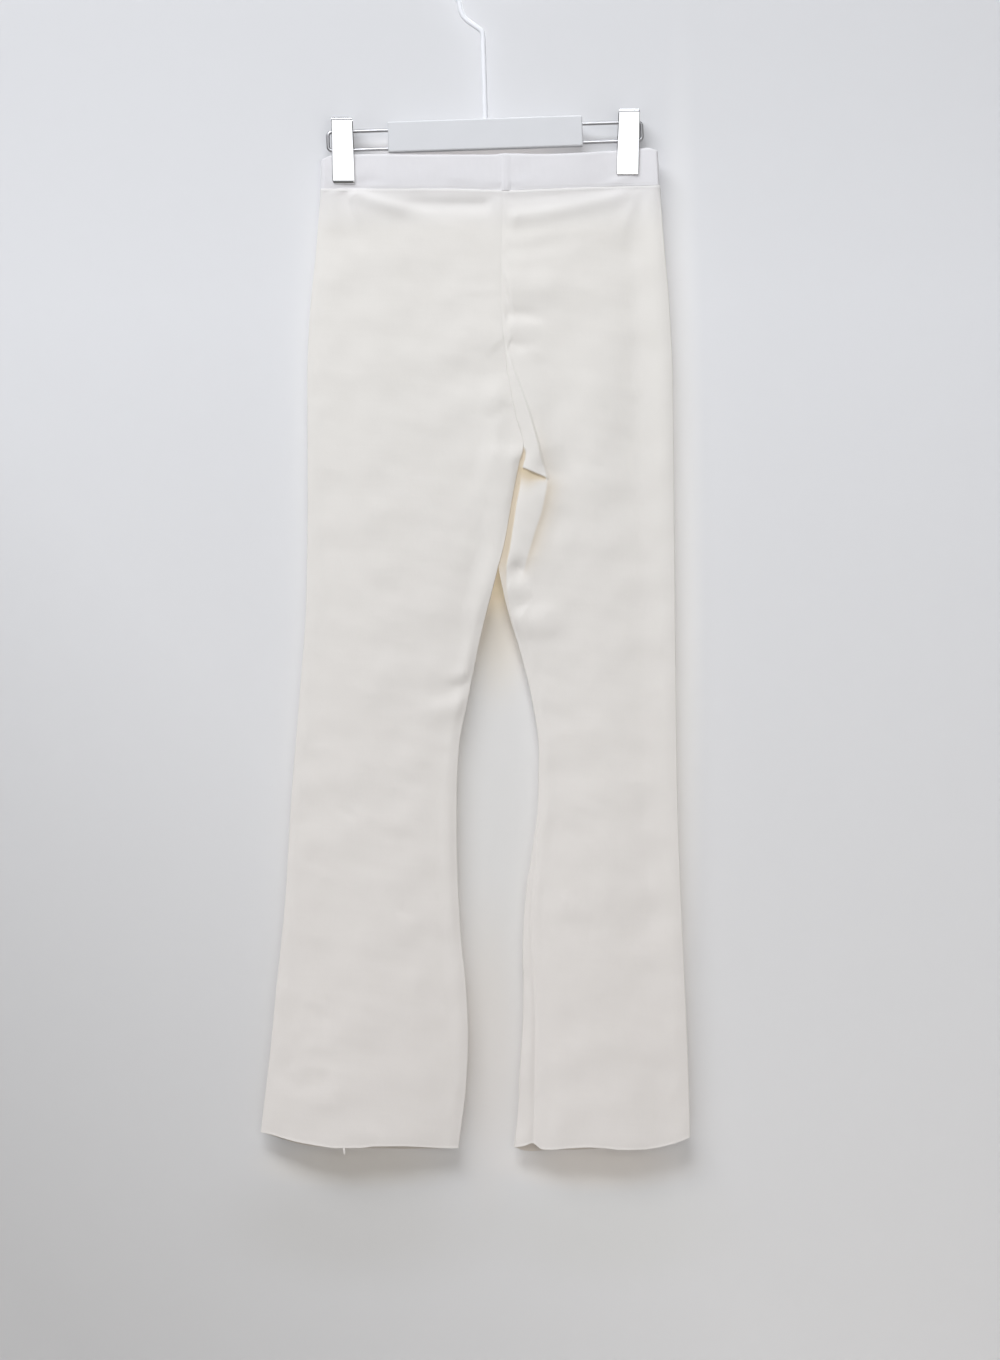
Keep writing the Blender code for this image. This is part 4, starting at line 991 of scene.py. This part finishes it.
def hanger_hook():
    centre = (0.0, HOOK_RADIUS - WIRE_HOOK / 2)
    stem = smooth_through(
        [(1.6, 168.0), (1.2, 150.0), (0.2, 115.0), (-0.7, 86.0), (-1.0, 77.0), (-2.4, 71.5), (-7.0, 67.5),
         (-15.0, 62.0), (-20.2, 57.0), (-23.6, 49.5)], 6)
    over = [
        (centre[0] + HOOK_RADIUS * math.cos(a), centre[1] - HOOK_RADIUS * math.sin(a))
        for a in (math.radians(mix(210, -14, k / 60)) for k in range(61))
    ]
    return tube("hanger_hook_wire", [(x, 0.0, d) for x, d in stem + over], WIRE_HOOK, HOOK, ("hanger_hook",), 24)


def tilted(along, up):
    x = BAR_CENTRE[0] + along * math.cos(BAR_TILT) - up * math.sin(BAR_TILT)
    return x, BAR_CENTRE[1] - along * math.sin(BAR_TILT) - up * math.cos(BAR_TILT)


def hanger_rail(half):
    inward = 1 if half == "left" else -1
    outer_end = -159.0 if half == "left" else 158.2
    radius = 4.0
    tuck = BAR_LENGTH / 2 - 13
    spread = RAIL_SPREAD / 2
    bend = outer_end + inward * (WIRE_RAIL / 2 + radius)
    path = [(-inward * tuck, spread), (-inward * (BAR_LENGTH / 2 + 3), spread)]
    for start, up in ((90, spread - radius), (180, -spread + radius)):
        for k in range(11):
            a = math.radians(start + 9 * k)
            path.append((bend + inward * radius * math.cos(a), up + radius * math.sin(a)))
    path += [(-inward * (BAR_LENGTH / 2 + 3), -spread), (-inward * tuck, -spread)]
    points = [tilted(a, u - RAIL_BELOW) for a, u in path]
    return tube(f"hanger_rail_{half}_wire", [(x, 0.0, d) for x, d in points], WIRE_RAIL, RAIL, (f"hanger_rail_{half}",), 16)


def clip(half):
    """Folded strip of plated spring steel: flat jaws with eased edges, closed on the waistband."""
    middle, top = (-141.0, 158.2) if half == "left" else (144.2, 150.0)
    lean = 2.0 if half == "left" else -2.0
    # below the fold's top, y of the outer face: the front jaw from its turned-in lip up to the fold's middle
    jaw = [
        (CLIP_LENGTH + 1.3, -3.9), (CLIP_LENGTH + 1.2, -4.3), (CLIP_LENGTH + 0.95, -4.7), (CLIP_LENGTH + 0.6, -5.05),
        (CLIP_LENGTH + 0.2, -5.37), (CLIP_LENGTH, -5.48), (62.8, -5.5), (56.0, -5.45), (48.0, -5.5), (40.0, -5.7), (32.0, -6.0), (22.0, -6.35),
        (12.0, -6.6), (4.0, -6.75), (1.9, -6.75), (1.3, -6.6), (0.8, -6.25), (0.4, -5.7), (0.12, -4.9), (0.0, -3.8), (0.0, -1.0),
    ]
    path = [(d, y) for d, y in jaw] + [(d, -y) for d, y in reversed(jaw)]
    shares = np.array([-1, -0.992, -0.98, -0.96, -0.93, -0.85, -0.6, -0.3, 0, 0.3, 0.6, 0.85, 0.93, 0.96, 0.98, 0.992, 1])
    roll = np.array([0.20, 0.09, 0.03, 0.0, 0.0, 0.0, 0.0, 0.0, 0.0, 0.0, 0.0, 0.0, 0.0, 0.0, 0.03, 0.08, 0.18])
    outer, inner = [], []
    for k, (d, y) in enumerate(path):
        (d0, y0), (d1, y1) = path[max(k - 1, 0)], path[min(k + 1, len(path) - 1)]
        size = math.hypot(d1 - d0, y1 - y0)
        ny, nd = (d1 - d0) / size, -(y1 - y0) / size          # outwards
        # the fold's corners and the lip's corners are rounded
        corner = 0.8 * max(0.0, 1 - d / 2.4) ** 2 + 0.45 * max(0.0, (d - 61.8) / 2.6) ** 2
        wide = mix(CLIP_TOP, CLIP_BOTTOM, ramp(0, CLIP_LENGTH, d)) / 2 - corner
        x = middle + lean * (d / CLIP_LENGTH - 0.5) + shares * wide
        for rows, depth in ((outer, roll), (inner, np.maximum(roll, 0) * 0.12 + CLIP_SHEET)):
            rows.append(np.stack([x, y - ny * depth, -(top + d - nd * depth)], -1))
    mesh = wall_mesh(f"clip_{half}_strip", np.array(outer) * MM, np.array(inner) * MM)
    return make(f"clip_{half}_strip", mesh, PLATED, (f"clip_{half}",), angle=35)


def main_hanger():
    hanger_hook().visible_shadow = False              # its shadow on the wall is too soft to see
    for half in ("left", "right"):
        hanger_rail(half)
        clip(half)
    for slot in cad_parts["hanger_bar"].material_slots:
        slot.material = BAR


# ---------------------------------------------------------------- camera, lights, stage
def camera():
    data = bpy.data.cameras.new("camera")
    cam = bpy.data.objects.new("camera", data)
    bpy.context.scene.collection.objects.link(cam)
    cam.location = (0.016, -2.6, -0.720)
    cam.rotation_euler = (math.radians(90), 0, 0)
    data.sensor_width = 36
    data.lens = 36 * 2.6 / 1.360
    bpy.context.scene.camera = cam


def plane(name, corners, material):
    mesh = bpy.data.meshes.new(name)
    mesh.from_pydata(corners, [], [(0, 1, 2, 3)])
    mesh.materials.append(material)
    obj = bpy.data.objects.new(name, mesh)
    bpy.context.scene.collection.objects.link(obj)
    return obj


def area(name, place, aim, size, power, colour=(1, 1, 1)):
    data = bpy.data.lights.new(name, "AREA")
    data.shape = "RECTANGLE"
    data.size, data.size_y = size
    data.energy = power
    data.color = colour
    obj = bpy.data.objects.new(name, data)
    obj.location = place
    obj.rotation_euler = (Vector(aim) - Vector(place)).to_track_quat("-Z", "Y").to_euler()
    bpy.context.scene.collection.objects.link(obj)
    return obj


def stage():
    floor_material, nodes, links, shader = new_material("stage_floor")
    shader.inputs["Base Color"].default_value = (0.55, 0.545, 0.54, 1)
    shader.inputs["Roughness"].default_value = 0.9
    floor = plane("stage_floor", [(-3, -3, -1.42), (3, -3, -1.42), (3, 3, -1.42), (-3, 3, -1.42)], floor_material)
    floor.visible_glossy = False

    wall_material, nodes, links, shader = new_material("stage_wall")
    cloud = noise(nodes, links, 3.0, 3).outputs["Fac"]
    where = nodes.new("ShaderNodeTexCoord")
    parts = nodes.new("ShaderNodeSeparateXYZ")
    links.new(where.outputs["Object"], parts.inputs["Vector"])
    def fade(start, end, **across):
        """0 to 1 along a line of x and z in metres."""
        total = None
        for axis, slope in across.items():
            part = nodes.new("ShaderNodeMath")
            part.operation = "MULTIPLY_ADD"
            links.new(parts.outputs[axis], part.inputs[0])
            part.inputs[1].default_value = slope
            part.inputs[2].default_value = 0.0
            if total:
                links.new(total, part.inputs[2])
            total = part.outputs["Value"]
        share = nodes.new("ShaderNodeMapRange")
        share.inputs["From Min"].default_value, share.inputs["From Max"].default_value = start, end
        links.new(total, share.inputs["Value"])
        return share.outputs["Result"]

    def spot(x, z, wide, high):
        """1 in the middle of an oval, 0 at its rim."""
        reach = nodes.new("ShaderNodeMapping")
        reach.inputs["Location"].default_value = (-x / wide, 0.0, -z / high)
        reach.inputs["Scale"].default_value = (1 / wide, 0.0, 1 / high)
        links.new(where.outputs["Object"], reach.inputs["Vector"])
        glow = nodes.new("ShaderNodeTexGradient")
        glow.gradient_type = "SPHERICAL"
        links.new(reach.outputs["Vector"], glow.inputs["Vector"])
        soft = nodes.new("ShaderNodeMapRange")
        soft.interpolation_type = "SMOOTHSTEP"
        soft.inputs["From Max"].default_value = 0.8
        links.new(glow.outputs["Fac"], soft.inputs["Value"])
        return soft.outputs["Result"]

    # painted light and shade on the wall: warmer towards the bottom and cooler towards the top, darker at the top and
    # towards the lower left, painted light in the gap between the legs, and the shadows beside the right edge, under
    # the bar and under the hems made lighter or darker
    paint = shade_between(nodes, links, fade(-1.3, -0.36, Z=1.0), (0.780, 0.765, 0.748), (0.775, 0.775, 0.785), 0.0, 1.0)
    for share, colour in (
        # painted shade: darker towards the top
        (fade(-0.34, -0.06, Z=1.0), (0.915, 0.915, 0.915)),
        # painted shade: darker towards the lower left
        (fade(1.27, 2.27, X=-1.45, Z=-1.2), (0.79, 0.79, 0.79)),
        # painted light and warm shade in the gap between the legs, lit through and off the cloth
        (spot(0.014, -0.612, 0.036, 0.056), (1.42, 1.36, 1.20)),
        (spot(0.014, -0.640, 0.052, 0.130), (1.00, 0.95, 0.865)),
        (spot(0.002, -0.860, 0.085, 0.420), (0.985, 0.975, 0.95)),
        # painted light: the shadow beside the garment's right edge made lighter
        (spot(0.196, -0.640, 0.030, 0.640), (1.16, 1.15, 1.125)),
        # painted light: the shadow between the bar and the band made lighter
        (spot(-0.009, -0.192, 0.150, 0.034), (1.27, 1.22, 1.18)),
        # painted light: the shadows under the hems made lighter and warmer, and painted shade further under them
        (spot(-0.125, -1.205, 0.13, 0.034), (1.11, 1.07, 1.01)),
        (spot(0.115, -1.207, 0.12, 0.034), (1.17, 1.12, 1.06)),
        (spot(-0.124, -1.265, 0.19, 0.085), (0.935, 0.93, 0.915)),
        (spot(0.125, -1.270, 0.17, 0.075), (0.965, 0.965, 0.95)),
        # painted warm shade between the lower legs
        (spot(0.004, -1.090, 0.045, 0.200), (0.985, 0.96, 0.935)),
        (cloud, (0.985, 0.985, 0.985)),
    ):
        mixed = nodes.new("ShaderNodeMix")
        mixed.data_type = "RGBA"
        mixed.blend_type = "MULTIPLY"
        links.new(share, mixed.inputs["Factor"])
        links.new(paint, mixed.inputs["A"])
        mixed.inputs["B"].default_value = (*colour, 1)
        paint = mixed.outputs["Result"]
    links.new(paint, shader.inputs["Base Color"])
    shader.inputs["Roughness"].default_value = 0.95
    shader.inputs["Specular IOR Level"].default_value = 0.1
    clear = nodes.new("ShaderNodeBsdfTransparent")
    side = nodes.new("ShaderNodeNewGeometry")
    both = nodes.new("ShaderNodeMixShader")
    links.new(side.outputs["Backfacing"], both.inputs["Fac"])
    links.new(shader.outputs["BSDF"], both.inputs[1])
    links.new(clear.outputs["BSDF"], both.inputs[2])
    links.new(both.outputs["Shader"], nodes["Material Output"].inputs["Surface"])
    y = 0.0152
    wall = plane("stage_wall", [(-1.3, y, -1.42), (1.3, y, -1.42), (1.3, y, 0.5), (-1.3, y, 0.5)], wall_material)
    wall.visible_shadow = False
    wall.visible_glossy = False

    world = bpy.data.worlds.new("world")
    world.use_nodes = True
    nodes, links = world.node_tree.nodes, world.node_tree.links
    where = nodes.new("ShaderNodeTexCoord")
    parts = nodes.new("ShaderNodeSeparateXYZ")
    links.new(where.outputs["Generated"], parts.inputs["Vector"])
    rise = nodes.new("ShaderNodeMapRange")
    rise.inputs["From Min"].default_value = -0.6
    rise.inputs["From Max"].default_value = 0.9
    links.new(parts.outputs["Z"], rise.inputs["Value"])
    sky = shade_between(nodes, links, rise.outputs["Result"], (0.15, 0.145, 0.135), (0.225, 0.23, 0.245), 0.0, 1.0)
    links.new(sky, nodes["Background"].inputs["Color"])
    nodes["Background"].inputs["Strength"].default_value = 1.0
    bpy.context.scene.world = world

    area("key", (-1.0, -2.1, 2.2), (0.0, 0.0, -0.6), (3.0, 1.2), 119, (0.93, 0.955, 1.0))
    area("card", (0.0, -2.85, 0.35), (0.0, 0.0, -0.2), (1.1, 0.8), 3.6)
    area("fill", (0.6, -2.2, -0.52), (0.05, 0.0, -0.6), (1.2, 0.8), 6.6, (1.0, 0.98, 0.95))
    area("behind", (0.7, 2.3, 1.3), (0.0, 0.0, -0.6), (1.4, 1.4), 42, (0.95, 0.97, 1.0))


def main():
    scene = bpy.context.scene
    scene.view_settings.view_transform = "Standard"
    camera()
    stage()
    main_hanger()
    for half in ("left", "right"):
        for layer in ("front", "back"):
            piece, line, out = panel(half, layer)
            stitches(f"waist_stitches_{layer}_{half}", line[3:], out[3:])
        piece, line, out = band(half)
        stitches(f"band_stitches_{half}", line, out)
    tube("hem_seam_end", [(-139.7, -10.4, 1185.0), (-139.2, -11.0, 1188.5), (-138.6, -10.8, 1192.4)], 2.4, JERSEY, sides=10)


main()
